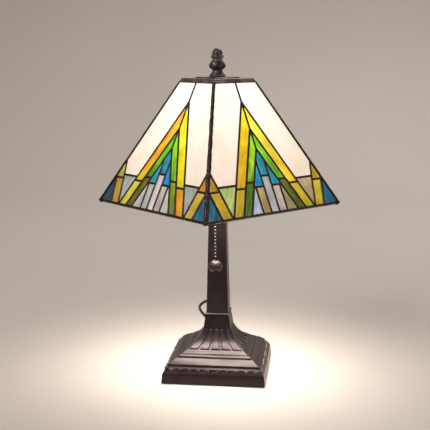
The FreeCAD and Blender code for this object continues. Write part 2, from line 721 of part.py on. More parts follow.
# ---- mains lead -------------------------------------------------------------------------
def strain_relief():
    """Moulded sleeve: a flange each side of the wall and a taper that guards the lead."""
    face = NECK[0]
    sleeve = turned([
        (CORD / 2, -5.4), (4.4, -5.4), (4.4, -4.2), (3.2, -4.0), (3.2, 0.8), (4.8, 0.8), (4.8, 2.4),
        (3.6, 3.6), (2.4, 22.2), (CORD / 2, 22.2)])
    sleeve.rotate(ORIGIN, Vector(1, 0, 0), -90)
    sleeve.translate(Vector(0, face, 66.0))
    return sleeve


def coil():
    wide = COIL_TURNS_ACROSS * CORD / 2
    outline = [
        (COIL_RADIUS - wide, 0.9), (COIL_RADIUS - wide + 0.9, 0), (COIL_RADIUS + wide - 0.9, 0),
        (COIL_RADIUS + wide, 0.9), (COIL_RADIUS + wide, COIL_TURNS_HIGH * CORD),
        (COIL_RADIUS - wide, COIL_TURNS_HIGH * CORD)]
    ring = turned(outline)
    ring.translate(Vector(*COIL_CENTRE, 0))
    return ring


def cord_tie():
    wide = COIL_TURNS_ACROSS * CORD / 2
    high = COIL_TURNS_HIGH * CORD
    x = COIL_CENTRE[0] + COIL_RADIUS - wide
    band = Part.makeBox(2 * wide + 1.4, 4, high + 0.7, Vector(x - 0.7, COIL_CENTRE[1] - 2, 0))
    return band.cut(Part.makeBox(2 * wide, 6, high - 0.7, Vector(x, COIL_CENTRE[1] - 3, 0.7)))


def plug_parts():
    x, y, z = PLUG_REAR
    body = Part.makeLoft([
        Part.makePolygon([Vector(x - step, y + sy * w, z + sz * h) for sy, sz in
                          ((-1, -1), (1, -1), (1, 1), (-1, 1), (-1, -1))])
        for step, w, h in ((0, 4.0, 3.6), (7, 8.6, 5.3), (22, 9.6, 5.6))], True, True)
    edges = [e for e in body.Edges if abs(e.Vertexes[0].X - e.Vertexes[1].X) > 2]
    body = body.makeFillet(1.6, edges)
    long, thick, wide, apart = PLUG_BLADE
    blades = []
    for side in (-1, 1):
        corner = Vector(x - 20 - long, y + side * apart / 2 - thick / 2, z - wide / 2)
        blades.append(Part.makeBox(long, thick, wide, corner))
    for blade in blades:
        body = body.cut(blade)
    return body, blades


# ---- build ------------------------------------------------------------------------------
def main():
    os.makedirs("parts", exist_ok=True)
    save("base_casting", base_casting())
    save("base_felt", base_felt())
    save("column", column())
    save("column_cap", column_cap())
    save("threaded_rod", threaded_rod())
    save("rod_washer", rod_washer())
    save("rod_nuts", [hex_nut(WEB[0] - 1.6 - 5.0, 5.0), hex_nut(COLUMN_TOP + CAP_THICK, NUT_THICK)])

    cap, shell, liner, body, screw, contact, outlet = socket_parts()
    save("socket_cap", cap)
    save("socket_shell", shell)
    save("socket_liner", liner.cut(outlet))
    save("socket_body", body)
    save("socket_screw_shell", screw)
    save("socket_contact", contact)
    save("chain_bell", outlet)
    save("harp_saddle", harp_saddle())
    loop = harp()
    save("harp", loop)
    save("harp_ferrules", harp_ferrules())
    save("harp_stud", harp_stud(loop))

    for name, shape in zip(("bulb_cap", "bulb_insulator", "bulb_tip", "bulb_glass"), bulb_parts()):
        save(name, shape)
    for name, shape in zip(("chain_link", "pull_chain", "pull_knob"), chain_parts()):
        save(name, shape)

    lead, bead, rod, glass = shade_parts()
    save("lead_lines", [on_side(lead, side) for side in range(4)])
    save("corner_beads", [on_side(bead, side) for side in range(4)])
    save("rim_beads", [on_side(rod, side) for side in range(4)])
    for colour, panes in glass.items():
        for side, place in enumerate(("left", "right", "back_right", "back_left")):
            save("%s_glass_%s" % (colour, place), [on_side(pane, side) for pane in panes])
    save("shade_cap", shade_cap())
    save("clamp_plate", clamp_plate())
    insert, finial = finial_parts()
    save("finial_insert", insert)
    save("finial", finial)

    save("strain_relief", strain_relief())
    tie = cord_tie()
    lead_out = tube(CORD_ROUTE, CORD / 2, "power_cord")
    to_plug = tube(LEAD_ROUTE, CORD / 2, "lead to the plug")
    save("power_cord", [lead_out, to_plug])
    save("inner_cord", tube(INNER_ROUTE, CORD / 2, "inner_cord"))
    save("cord_coil", coil().cut(tie))
    save("cord_tie", tie)
    plug, blades = plug_parts()
    save("plug_body", plug)
    save("plug_blades", blades)


main()
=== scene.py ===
import math

import bmesh
import bpy
from bpy.props import FloatProperty, FloatVectorProperty, PointerProperty
from mathutils import Matrix, Vector, noise


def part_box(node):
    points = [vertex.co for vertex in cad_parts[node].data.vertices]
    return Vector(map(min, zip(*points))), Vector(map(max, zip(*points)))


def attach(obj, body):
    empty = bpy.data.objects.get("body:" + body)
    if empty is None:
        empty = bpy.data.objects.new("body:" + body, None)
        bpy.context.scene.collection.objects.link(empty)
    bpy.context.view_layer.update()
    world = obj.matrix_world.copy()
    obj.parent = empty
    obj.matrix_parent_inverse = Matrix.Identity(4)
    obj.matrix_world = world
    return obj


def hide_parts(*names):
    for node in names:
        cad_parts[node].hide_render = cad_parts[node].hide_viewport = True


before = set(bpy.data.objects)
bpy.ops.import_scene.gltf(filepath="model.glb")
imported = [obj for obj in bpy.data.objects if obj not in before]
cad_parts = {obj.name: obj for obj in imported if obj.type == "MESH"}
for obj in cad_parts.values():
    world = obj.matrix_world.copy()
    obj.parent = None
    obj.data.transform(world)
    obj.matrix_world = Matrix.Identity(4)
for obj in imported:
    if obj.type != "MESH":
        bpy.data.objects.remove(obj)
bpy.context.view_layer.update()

bl_info = {
    "name": "Leaded Glass Table Lamp",
    "version": (1, 0, 0),
    "blender": (4, 5, 0),
    "location": "View3D > Sidebar > Lamp",
    "description": "Finishes a small table lamp with a four-sided leaded glass shade",
    "category": "Add Mesh",
}

# Sizes are in millimetres up to the point where a mesh takes its place, and MM makes them metres.
MM = 0.001
STAND, SHADE = "stand", "shade"


def top_of(node):
    """Height of a CAD node's top, in millimetres."""
    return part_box(node)[1].z / MM


def foot_of(node):
    """Height of a CAD node's lowest point, in millimetres."""
    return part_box(node)[0].z / MM


# ---- shade dimensions -------------------------------------------------------------------
SHADE_YAW = 1.63
SHADE_SIDE = 203.2
SHADE_TOP_SIDE = 64.0
SHADE_FOOT = foot_of("corner_beads")
SHADE_TOP = top_of("corner_beads")
RUN = (SHADE_SIDE - SHADE_TOP_SIDE) / 2
RISE = SHADE_TOP - SHADE_FOOT
SLANT = math.hypot(RUN, RISE)
LEAD_THICK = 3.6
GLASS_THICK = 2.6
GLASS_SET_BACK = 0.5
BULB_MIDDLE_BELOW_TOP = 24.0
BULB_HEIGHT = top_of("bulb_glass") - BULB_MIDDLE_BELOW_TOP

# The pattern of one panel, in millimetres across the panel and up its slope.
CHEVRON_TIP, AMBER_TIP, GREEN_TIP = 134.0, 101.0, 77.0
CHEVRON_FOOT, AMBER_FOOT, GREEN_FOOT = 62.0, 48.0, 36.0
AMBER_BREAK, GREEN_BREAK, STRIP_BREAK = 33.0, 39.0, 45.0
KITE_BREAK, KITE_PEAK = 37.5, 58.0
STRIP, STRIP_OUTER = 6.0, 18.0
CORNER_LINE, CORNER_RISE = 76.5, 36.9

# ---- base dimensions --------------------------------------------------------------------
# Half-widths of the square mouldings, each with its height.
PAD = [(60.7, 1.2), (60.7, 2.4), (60.05, 10.6), (59.8, 12.2), (59.1, 13.7), (57.9, 15.0)]
EGG_BAND = [(57.1, 15.2), (56.5, 17.5), (56.3, 18.0), (54.4, 19.6)]
SHADOW_GROOVE = [(53.6, 19.7), (53.5, 21.6), (53.2, 22.1), (52.6, 22.5)]
LOW_BAND = [(46.3, 27.6), (45.7, 27.8), (43.2, 27.8)]
HIGH_BAND = [
    (43.0, 28.2), (42.95, 29.0), (42.5, 29.4), (39.6, 30.9), (39.0, 30.9), (38.8, 31.3), (35.6, 33.2),
]
COVE_FOOT, COVE_MIDDLE, COVE_HEAD = (34.7, 34.1), (22.9, 42.4), (16.3, 55.3)
NECK = [(14.8, 66.7), (13.7, 70.8), (13.75, 71.3)]
RIDGE = [(14.2, 71.5), (14.65, 72.0), (14.75, 72.6), (14.4, 73.3), (13.8, 73.9), (13.3, 74.1)]
COVE_STEPS = 44
# Raised tongues on the cove. Widths across a side are shares of its half-width.
TONGUES = 5
TONGUE_HALF = 0.158
TONGUE_COLUMNS = (0.0, 0.06, 0.13, 0.145, 0.156, 0.165, 0.172)
TONGUE_RISE = 1.25
TONGUE_FOOT_GAP, TONGUE_HEAD_GAP = 1.3, 0.3
TONGUE_CORNER = 1.3
TONGUE_EDGE = 0.55
TONGUE_FADE_FROM, TONGUE_FADE = 0.55, 0.45
# The cast border: half-sizes across, outwards and up.
EGGS = 10
EGG_SIZE, SHELL_SIZE, DART_SIZE = (1.45, 1.6, 1.9), (0.65, 1.5, 1.9), (0.6, 1.1, 1.0)
SHELL_OFF = 2.5
BORDER_END = 1.5
BORDER_LEAN = -14.0

# ---- mains lead -------------------------------------------------------------------------
CORD_ROUTE = [
    (0.0, 37.0, 66.0),
    (0.0, 52.0, 66.0),
    (-11.5, 64.0, 67.8),
    (-25.0, 68.5, 66.0),
    (-36.0, 77.0, 54.6),
    (-31.5, 91.0, 40.8),
    (-25.0, 101.0, 29.5),
    (-16.0, 108.5, 20.5),
    (-4.5, 111.5, 14.6),
    (7.8, 109.8, 12.6),
]
LEAD_ROUTE = [(-3.0, 64.3, 1.9), (-13.5, 66.0, 2.8), (-23.0, 71.2, 4.7), (-33.0, 72.0, 5.6)]
COIL_CENTRE = (-0.3, 87.6)
COIL_RADII = (23.6, 20.0, 16.4)
COIL_LAYERS = (12.6, 9.0, 5.4, 1.8)

# ---- solder and glass edges -------------------------------------------------------------
# Where the beads' middle lines run: up from the shade's ends, and in from its corners and edges.
CORNER_FOOT_UP, CORNER_FOOT_IN = 1.2, 1.0
CORNER_TOP_UP, CORNER_TOP_IN = 0.4, 0.8
RIM_UP, RIM_IN = 0.9, 1.6
CORNER_FLAT = 0.62
# How lumpy the solder is, as a share of its height, and how far apart its lumps and cuts are.
LINE_LUMPS, CORNER_LUMPS, RIM_LUMPS, BALL_LUMPS = 0.35, 0.22, 0.16, 0.12
LINE_LUMP_LONG, ROD_LUMP_LONG, BALL_LUMP_LONG = 5.5, 6.0, 3.0
LINE_CUTS, ROD_CUTS = 3.5, 3.0
# The front corner carries the most solder; the others have this share of its radius.
FRONT_CORNER = 1
OTHER_CORNERS = 0.58
BALL_SHARE = 0.92
# Two kinds of line are finer than the others: their edges within a reach move by a share.
SEAM_REACH, SEAM_TAKEN = 3.0, 0.15
BORDER_REACH, CORNER_BORDER_TAKEN, TOP_BORDER_TAKEN = 1.6, 0.5, 0.7
# A pane's face starts just outside the solder's edge and under its skin, and has an eased rim.
PANE_OVERLAP, PANE_UNDER = 0.12, 0.08
PANE_EASE_WIDE, PANE_EASE_DEEP = 0.35, 0.14


# ---- colours and nodes ------------------------------------------------------------------
def linear(code):
    """An sRGB hex colour as linear red, green and blue."""
    shares = [int(code[place:place + 2], 16) / 255 for place in (1, 3, 5)]
    return [s / 12.92 if s <= 0.04045 else ((s + 0.055) / 1.055) ** 2.4 for s in shares]


def opaque(tint):
    """A linear colour with the fourth value that a socket takes."""
    return (*tint, 1.0)


def colour(code):
    """An sRGB hex colour as a socket takes it."""
    return opaque(linear(code))


def add(tree, kind, inputs=None, **settings):
    """Adds a node with its settings. Each input is a value, or a socket to link from."""
    made = tree.nodes.new(kind)
    for name, value in settings.items():
        setattr(made, name, value)
    for name, value in (inputs or {}).items():
        if isinstance(value, bpy.types.NodeSocket):
            tree.links.new(value, made.inputs[name])
        else:
            made.inputs[name].default_value = value
    return made


def started(name, **values):
    """A new material with its tree, its shader and its Object coordinates."""
    material = bpy.data.materials.new(name)
    material.use_nodes = True
    tree = material.node_tree
    shader = tree.nodes["Principled BSDF"]
    for socket, value in values.items():
        shader.inputs[socket.replace("_", " ")].default_value = value
    where = add(tree, "ShaderNodeTexCoord").outputs["Object"]
    return material, tree, shader, where


# The inputs of a colour Mix node, which shares its names with the number Mix.
MIX_SHARE, MIX_A, MIX_B, MIX_OUT = 0, 6, 7, 2


# ---- materials --------------------------------------------------------------------------
def bronze_lacquer(name, dark, rubbed, rough=0.3, grain=0.9, relief=0.12):
    """Oil-rubbed bronze lacquer on die-cast zinc or pressed steel: nearly black where it is thick and
    brown where it was rubbed, with a satin gloss that breaks up over the fine skin of the metal."""
    material, tree, shader, where = started(name, Metallic=0.6, Coat_Weight=0.12, Coat_Roughness=0.26)
    # Clouds of thicker and thinner lacquer, about 14 mm across.
    clouds = add(tree, "ShaderNodeTexNoise", {"Vector": where, "Scale": 1 / 0.014, "Detail": 5.0})
    share = add(
        tree,
        "ShaderNodeMapRange",
        {"Value": clouds.outputs["Fac"], "From Min": 0.42, "From Max": 0.7},
    )
    tint = add(
        tree,
        "ShaderNodeMix",
        {MIX_SHARE: share.outputs[0], MIX_A: dark, MIX_B: rubbed},
        data_type="RGBA",
    )
    tree.links.new(tint.outputs[MIX_OUT], shader.inputs["Base Color"])
    # The metal's skin: grains of about a millimetre, drawn coarser than the real ones so they show.
    skin = add(tree, "ShaderNodeTexNoise", {"Vector": where, "Scale": 1 / (grain * MM), "Detail": 3.0})
    gloss = add(
        tree,
        "ShaderNodeMapRange",
        {
            "Value": skin.outputs["Fac"],
            "From Min": 0.3,
            "From Max": 0.7,
            "To Min": rough - 0.07,
            "To Max": rough + 0.1,
        },
    )
    tree.links.new(gloss.outputs[0], shader.inputs["Roughness"])
    bump = add(
        tree,
        "ShaderNodeBump",
        {"Height": skin.outputs["Fac"], "Strength": 0.35, "Distance": relief * MM},
    )
    tree.links.new(bump.outputs[0], shader.inputs["Normal"])
    return material


def solder():
    """Tin and lead solder run over copper foil and blackened with a patina: dark brown-black,
    lumpy along its length, with pale spots at random that are bare tin and also painted glints."""
    material, tree, shader, where = started("solder_patina", Metallic=0.8)
    # Where the iron stopped and started, every 5 mm or so.
    lumps = add(tree, "ShaderNodeTexNoise", {"Vector": where, "Scale": 1 / 0.005, "Detail": 2.0})
    ripples = add(tree, "ShaderNodeTexNoise", {"Vector": where, "Scale": 1 / 0.0014, "Detail": 2.0})
    # Small pale spots scattered at random: bare tin, and painted glints of light.
    bare = add(
        tree,
        "ShaderNodeMapRange",
        {"Value": ripples.outputs["Fac"], "From Min": 0.62, "From Max": 0.74, "To Max": 0.55},
    )
    brown = add(
        tree,
        "ShaderNodeMix",
        {MIX_SHARE: lumps.outputs["Fac"], MIX_A: colour("#1C1313"), MIX_B: colour("#5A4642")},
        data_type="RGBA",
    )
    tint = add(
        tree,
        "ShaderNodeMix",
        {MIX_SHARE: bare.outputs[0], MIX_A: brown.outputs[MIX_OUT], MIX_B: colour("#8E8480")},
        data_type="RGBA",
    )
    tree.links.new(tint.outputs[MIX_OUT], shader.inputs["Base Color"])
    gloss = add(tree, "ShaderNodeMapRange", {"Value": lumps.outputs["Fac"], "To Min": 0.5, "To Max": 0.24})
    tree.links.new(gloss.outputs[0], shader.inputs["Roughness"])
    height = add(
        tree,
        "ShaderNodeMath",
        {0: lumps.outputs["Fac"], 1: ripples.outputs["Fac"]},
        operation="ADD",
    )
    bump = add(tree, "ShaderNodeBump", {"Height": height.outputs[0], "Strength": 0.5, "Distance": 0.0006})
    tree.links.new(bump.outputs[0], shader.inputs["Normal"])
    return material


# Metres from the bulb at which the glass has the glow that its sheet is given.
FULL_GLOW_AT = 0.1


def sheet_glass(name, streak_wide, contrast, cloud, glow, fall):
    """Opalescent sheet glass, rolled while two melts were still mixing: wisps along each pane, a
    faintly rippled fire-polished face, and the bulb's light painted in as a glow that fades down the shade."""
    material, tree, shader, where = started(name, Roughness=0.11, IOR=1.52, Coat_Weight=0.2)
    shader.inputs["Coat Roughness"].default_value = 0.05
    # Each pane's colour, lighter towards its top partly as painted light, and the colour of its wisps.
    upper = add(tree, "ShaderNodeAttribute", attribute_name="pane_tint_and_light").outputs["Color"]
    wisp = add(tree, "ShaderNodeAttribute", attribute_name="pane_wisp").outputs["Color"]
    # Wisps are nine times as long as wide, and the pane's own map runs along its length.
    laid = add(tree, "ShaderNodeUVMap", uv_map="pane_map").outputs["UV"]
    drawn = add(
        tree,
        "ShaderNodeMapping",
        {"Vector": laid, "Scale": (1 / (9 * streak_wide), 1 / streak_wide, 1.0)},
    )
    wisps = add(
        tree,
        "ShaderNodeTexNoise",
        {"Vector": drawn.outputs[0], "Scale": 1.0, "Detail": 4.0, "Distortion": 0.6},
    )
    share = add(
        tree,
        "ShaderNodeMapRange",
        {"Value": wisps.outputs["Fac"], "From Min": 0.42, "From Max": 0.62, "To Max": contrast},
    )
    melt = add(
        tree,
        "ShaderNodeMix",
        {MIX_SHARE: share.outputs[0], MIX_A: upper, MIX_B: wisp},
        data_type="RGBA",
    ).outputs[MIX_OUT]
    # Cloudier and clearer places, about 18 mm across, which dim the light or let it by.
    clouds = add(tree, "ShaderNodeTexNoise", {"Vector": where, "Scale": 1 / 0.018, "Detail": 3.0})
    density = add(
        tree,
        "ShaderNodeMapRange",
        {
            "Value": clouds.outputs["Fac"],
            "From Min": 0.35,
            "From Max": 0.65,
            "To Min": 1 - cloud,
            "To Max": 1 + cloud / 2,
        },
    )
    # The painted glow falls off with the distance from the bulb.
    bulb = add(
        tree,
        "ShaderNodeVectorMath",
        {0: where, 1: (0, 0, BULB_HEIGHT * MM)},
        operation="DISTANCE",
    )
    near = add(tree, "ShaderNodeMath", {0: FULL_GLOW_AT, 1: bulb.outputs["Value"]}, operation="DIVIDE")
    faded = add(tree, "ShaderNodeMath", {0: near.outputs[0], 1: fall}, operation="POWER")
    light = add(tree, "ShaderNodeMath", {0: faded.outputs[0], 1: density.outputs[0]}, operation="MULTIPLY")
    strength = add(tree, "ShaderNodeMath", {0: light.outputs[0], 1: glow}, operation="MULTIPLY")
    # The glass's own colour is darkened, so that the painted glow carries its look.
    dim = add(
        tree,
        "ShaderNodeMix",
        {MIX_SHARE: 0.72, MIX_A: melt, MIX_B: colour("#060606")},
        data_type="RGBA",
    )
    tree.links.new(dim.outputs[MIX_OUT], shader.inputs["Base Color"])
    tree.links.new(melt, shader.inputs["Emission Color"])
    tree.links.new(strength.outputs[0], shader.inputs["Emission Strength"])
    # Roller ripple, 3 mm from crest to crest.
    ripple = add(tree, "ShaderNodeTexNoise", {"Vector": where, "Scale": 1 / 0.003, "Detail": 1.0})
    bump = add(
        tree,
        "ShaderNodeBump",
        {"Height": ripple.outputs["Fac"], "Strength": 0.12, "Distance": 0.0004},
    )
    tree.links.new(bump.outputs[0], shader.inputs["Normal"])
    return material


def worked_metal(name, tint, rough, mark=0.0011, worn="#6A655C"):
    """Steel or brass, turned, drawn or pressed, and bare or plated: an even metal shine with fine
    tool marks and a little darkening where hands and air got at it."""
    material, tree, shader, where = started(name, Metallic=1.0)
    marks = add(tree, "ShaderNodeTexNoise", {"Vector": where, "Scale": 1 / mark, "Detail": 3.0})
    tone = add(
        tree,
        "ShaderNodeMix",
        {MIX_SHARE: marks.outputs["Fac"], MIX_A: colour(tint), MIX_B: colour(worn)},
        data_type="RGBA",
    )
    tree.links.new(tone.outputs[MIX_OUT], shader.inputs["Base Color"])
    gloss = add(
        tree,
        "ShaderNodeMapRange",
        {"Value": marks.outputs["Fac"], "To Min": rough - 0.08, "To Max": rough + 0.1},
    )
    tree.links.new(gloss.outputs[0], shader.inputs["Roughness"])
    bump = add(
        tree,
        "ShaderNodeBump",
        {"Height": marks.outputs["Fac"], "Strength": 0.2, "Distance": 0.0001},
    )
    tree.links.new(bump.outputs[0], shader.inputs["Normal"])
    return material


# Bands to a metre that a Wave node draws at a Scale of 1.
WAVE_BANDS = 3.18


def threaded(name, tint, pitch, rough):
    """Rolled screw metal: each thread's ring a soft band at its pitch, darker at its root as painted shade.
    """
    material, tree, shader, where = started(name, Metallic=1.0, Roughness=rough)
    rings = add(
        tree,
        "ShaderNodeTexWave",
        {"Vector": where, "Scale": 1 / pitch / WAVE_BANDS, "Distortion": 0.0},
        bands_direction="Z",
    )
    # The root of each thread is painted darker: painted shade in the groove that the bump draws.
    tone = add(
        tree,
        "ShaderNodeMix",
        {MIX_SHARE: rings.outputs["Fac"], MIX_A: colour("#5A564E"), MIX_B: colour(tint)},
        data_type="RGBA",
    )
    tree.links.new(tone.outputs[MIX_OUT], shader.inputs["Base Color"])
    bump = add(
        tree,
        "ShaderNodeBump",
        {"Height": rings.outputs["Fac"], "Strength": 0.9, "Distance": 0.0008},
    )
    tree.links.new(bump.outputs[0], shader.inputs["Normal"])
    return material


def pressed_felt():
    """Wool felt, pressed and cut: matt, dark, with short crossed hairs about half a millimetre long."""
    material, tree, shader, where = started("felt_pressed", Roughness=0.95, Sheen_Weight=0.4)
    hairs = add(
        tree,
        "ShaderNodeTexNoise",
        {"Vector": where, "Scale": 1 / 0.0005, "Detail": 4.0, "Distortion": 2.0},
    )
    tone = add(
        tree,
        "ShaderNodeMix",
        {MIX_SHARE: hairs.outputs["Fac"], MIX_A: colour("#14110F"), MIX_B: colour("#3A332E")},
        data_type="RGBA",
    )
    tree.links.new(tone.outputs[MIX_OUT], shader.inputs["Base Color"])
    bump = add(
        tree,
        "ShaderNodeBump",
        {"Height": hairs.outputs["Fac"], "Strength": 0.8, "Distance": 0.0003},
    )
    tree.links.new(bump.outputs[0], shader.inputs["Normal"])
    return material


def moulded(name, tint, shade, rough, grain):
    """Moulded plastic or fibre: one colour with a faint cloud in it and a fine mould grain that
    softens its shine."""
    material, tree, shader, where = started(name, Roughness=rough)
    clouds = add(tree, "ShaderNodeTexNoise", {"Vector": where, "Scale": 1 / 0.009, "Detail": 3.0})
    tone = add(
        tree,
        "ShaderNodeMix",
        {MIX_SHARE: clouds.outputs["Fac"], MIX_A: tint, MIX_B: shade},
        data_type="RGBA",
    )
    tree.links.new(tone.outputs[MIX_OUT], shader.inputs["Base Color"])
    skin = add(tree, "ShaderNodeTexNoise", {"Vector": where, "Scale": 1 / (grain * MM), "Detail": 2.0})
    gloss = add(
        tree,
        "ShaderNodeMapRange",
        {"Value": skin.outputs["Fac"], "To Min": rough - 0.08, "To Max": rough + 0.08},
    )
    tree.links.new(gloss.outputs[0], shader.inputs["Roughness"])
    bump = add(
        tree,
        "ShaderNodeBump",
        {"Height": skin.outputs["Fac"], "Strength": 0.3, "Distance": 0.0001},
    )
    tree.links.new(bump.outputs[0], shader.inputs["Normal"])
    return material


def lit_bulb():
    """Blown bulb glass with a white coating inside, lit: brightest round its middle, and warmer
    towards the neck where the coating is thin."""
    material, tree, shader, where = started("bulb_coated", Roughness=0.25, Base_Color=colour("#F4EBDD"))
    height = add(tree, "ShaderNodeSeparateXYZ", {0: where}).outputs["Z"]
    up = add(
        tree,
        "ShaderNodeMapRange",
        {"Value": height, "From Min": foot_of("bulb_glass") * MM, "From Max": BULB_HEIGHT * MM},
    )
    coat = add(tree, "ShaderNodeTexNoise", {"Vector": where, "Scale": 1 / 0.006, "Detail": 2.0})
    speck = add(tree, "ShaderNodeMapRange", {"Value": coat.outputs["Fac"], "To Min": 0.85, "To Max": 1.1})
    glow = add(
        tree,
        "ShaderNodeMix",
        {MIX_SHARE: up.outputs[0], MIX_A: colour("#FFB871"), MIX_B: colour("#FFF1DC")},
        data_type="RGBA",
    )
    strength = add(tree, "ShaderNodeMath", {0: speck.outputs[0], 1: 7.0}, operation="MULTIPLY")
    tree.links.new(glow.outputs[MIX_OUT], shader.inputs["Emission Color"])
    tree.links.new(strength.outputs[0], shader.inputs["Emission Strength"])
    return material


def pale_floor():
    """Painted board for the stage: pale, even and matt."""
    material, tree, shader, where = started("stage_board", Roughness=0.7)
    clouds = add(tree, "ShaderNodeTexNoise", {"Vector": where, "Scale": 3.0, "Detail": 2.0})
    tone = add(
        tree,
        "ShaderNodeMix",
        {MIX_SHARE: clouds.outputs["Fac"], MIX_A: colour("#C4BDB6"), MIX_B: colour("#CAC4BE")},
        data_type="RGBA",
    )
    tree.links.new(tone.outputs[MIX_OUT], shader.inputs["Base Color"])
    return material


# ---- making and placing pieces ----------------------------------------------------------
def finished(name, work, material, body, replaces=(), sharp=32.0):
    """Turns a bmesh into a piece that rides on its body and stands for its CAD nodes."""
    mesh = bpy.data.meshes.new(name)
    work.to_mesh(mesh)
    work.free()
    mesh.materials.append(material)
    mesh.polygons.foreach_set("use_smooth", [True] * len(mesh.polygons))
    mesh.set_sharp_from_angle(angle=math.radians(sharp))
    piece = bpy.data.objects.new(name, mesh)
    bpy.context.scene.collection.objects.link(piece)
    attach(piece, body)
    if replaces:
        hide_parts(*replaces)
    return piece


def refinish(material, *nodes):
    """Gives CAD nodes a material."""
    for node in nodes:
        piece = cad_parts[node]
        piece.data.materials.clear()
        piece.data.materials.append(material)


def copy_of(node):
    """A merged copy of a CAD node's mesh, with its flat faces whole again."""
    work = bmesh.new()
    work.from_mesh(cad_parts[node].data)
    bmesh.ops.remove_doubles(work, verts=work.verts, dist=1e-6)
    bmesh.ops.dissolve_limit(work, angle_limit=math.radians(0.5), verts=work.verts, edges=work.edges)
    return work


def eased(work, width, angle=40.0, segments=2):
    """Rounds every edge that is sharper than an angle, as casting and painting do."""
    edges = [e for e in work.edges if len(e.link_faces) == 2 and e.calc_face_angle() > math.radians(angle)]
    bmesh.ops.bevel(
        work,
        geom=edges,
        offset=width * MM,
        offset_type="OFFSET",
        affect="EDGES",
        segments=segments,
        profile=0.5,
        material=-1,
        clamp_overlap=True,
    )
    return work


def scaled(work):
    """Turns a bmesh that was made in millimetres to metres."""
    bmesh.ops.scale(work, vec=(MM, MM, MM), verts=work.verts)
    return work


def spun(points, steps):
    """A turned solid in millimetres from its (radius, height) outline."""
    work = bmesh.new()
    ring = [work.verts.new((radius, 0, height)) for radius, height in points]
    edges = [work.edges.new(pair) for pair in zip(ring, ring[1:])]
    bmesh.ops.spin(
        work,
        geom=ring + edges,
        cent=(0, 0, 0),
        axis=(0, 0, 1),
        angle=math.tau,
        steps=steps,
        use_merge=True,
    )
    bmesh.ops.remove_doubles(work, verts=work.verts, dist=1e-4)
    bmesh.ops.recalc_face_normals(work, faces=work.faces)
    return work


def arc_points(first, middle, last, steps):
    """Points along the arc through three (half-width, height) points."""
    (ax, ay), (bx, by), (cx, cy) = first, middle, last
    twice = 2 * (ax * (by - cy) + bx * (cy - ay) + cx * (ay - by))
    a2, b2, c2 = ax * ax + ay * ay, bx * bx + by * by, cx * cx + cy * cy
    x = (a2 * (by - cy) + b2 * (cy - ay) + c2 * (ay - by)) / twice
    y = (a2 * (cx - bx) + b2 * (ax - cx) + c2 * (bx - ax)) / twice
    start, end = math.atan2(ay - y, ax - x), math.atan2(cy - y, cx - x)
    sweep = (end - start + math.pi) % math.tau - math.pi
    radius = math.hypot(ax - x, ay - y)
    turns = [start + sweep * step / steps for step in range(steps + 1)]
    return [(x + radius * math.cos(turn), y + radius * math.sin(turn)) for turn in turns]


# ---- settings ---------------------------------------------------------------------------
class LampStageSettings(bpy.types.PropertyGroup):
    lens: FloatProperty(
        name="Lens",
        description="Focal length in millimetres",
        default=75.33,
    )
    azimuth: FloatProperty(
        name="Azimuth",
        description="Camera's turn about the lamp",
        default=math.radians(6.81),
        subtype="ANGLE",
    )
    elevation: FloatProperty(
        name="Elevation",
        description="Camera's height angle",
        default=math.radians(10.57),
        subtype="ANGLE",
    )
    distance: FloatProperty(
        name="Distance",
        description="From the camera to the column",
        default=1.075,
        unit="LENGTH",
    )
    roll: FloatProperty(
        name="Roll",
        description="Camera's tilt",
        default=math.radians(-0.26),
        subtype="ANGLE",
    )
    look_height: FloatProperty(
        name="Look height",
        description="Height the camera looks at",
        default=0.1919,
        unit="LENGTH",
    )
    room_light: FloatProperty(
        name="Room light",
        description="Strength of the plain surroundings",
        default=0.3,
    )
    bulb_power: FloatProperty(
        name="Bulb",
        description="Power in watts of the light that leaves the shade's foot",
        default=0.8,
    )


class LampCordSettings(bpy.types.PropertyGroup):
    diameter: FloatProperty(
        name="Diameter",
        description="Lead's outer diameter",
        default=0.0036,
        unit="LENGTH",
    )
    length: FloatProperty(
        name="Length",
        description="Lead's length outside the lamp",
        default=1.68,
        unit="LENGTH",
    )
    tint: FloatVectorProperty(
        name="Vinyl",
        description="Colour of the lead's vinyl",
        default=linear("#1C110D"),
        subtype="COLOR",
        size=3,
    )
    shade: FloatVectorProperty(
        name="Vinyl's dark",
        description="Colour of the darker clouds in the vinyl",
        default=linear("#120A08"),
        subtype="COLOR",
        size=3,
    )


class LampBaseSettings(bpy.types.PropertyGroup):
    lacquer: FloatVectorProperty(
        name="Lacquer",
        description="Colour of the bronze lacquer where it is thick",
        default=linear("#221819"),
        subtype="COLOR",
        size=3,
    )
    thin: FloatVectorProperty(
        name="Thin lacquer",
        description="Colour of the bronze lacquer where it is thin",
        default=linear("#2E2326"),
        subtype="COLOR",
        size=3,
    )
    # The border's lighter colour is partly rubbed-through lacquer, partly a painted highlight on the cast
    # relief.
    rubbed: FloatVectorProperty(
        name="Rubbed border",
        description="Colour of the border, where the lacquer is rubbed through",
        default=linear("#5A4A46"),
        subtype="COLOR",
        size=3,
    )


class LampLeadSettings(bpy.types.PropertyGroup):
    half_width: FloatProperty(
        name="Half-width",
        description="Half the width of a lead line in millimetres",
        default=1.35,
    )
    crown: FloatProperty(
        name="Crown",
        description="Height of the solder above the glass in millimetres",
        default=1.0,
    )
    corner_foot: FloatProperty(
        name="Corner foot",
        description="Front corner bead's radius at the foot, in millimetres",
        default=2.8,
    )
    corner_top: FloatProperty(
        name="Corner top",
        description="Front corner bead's radius at the top, in millimetres",
        default=1.9,
    )
    rim: FloatProperty(
        name="Rim",
        description="Radius of the bead round the foot, in millimetres",
        default=1.5,
    )


class LampGlassSettings(bpy.types.PropertyGroup):
    white_glow: FloatProperty(
        name="White glow",
        description="Light through the white glass",
        default=0.9,
    )
    colour_glow: FloatProperty(
        name="Colour glow",
        description="Light through the coloured glass",
        default=0.82,
    )


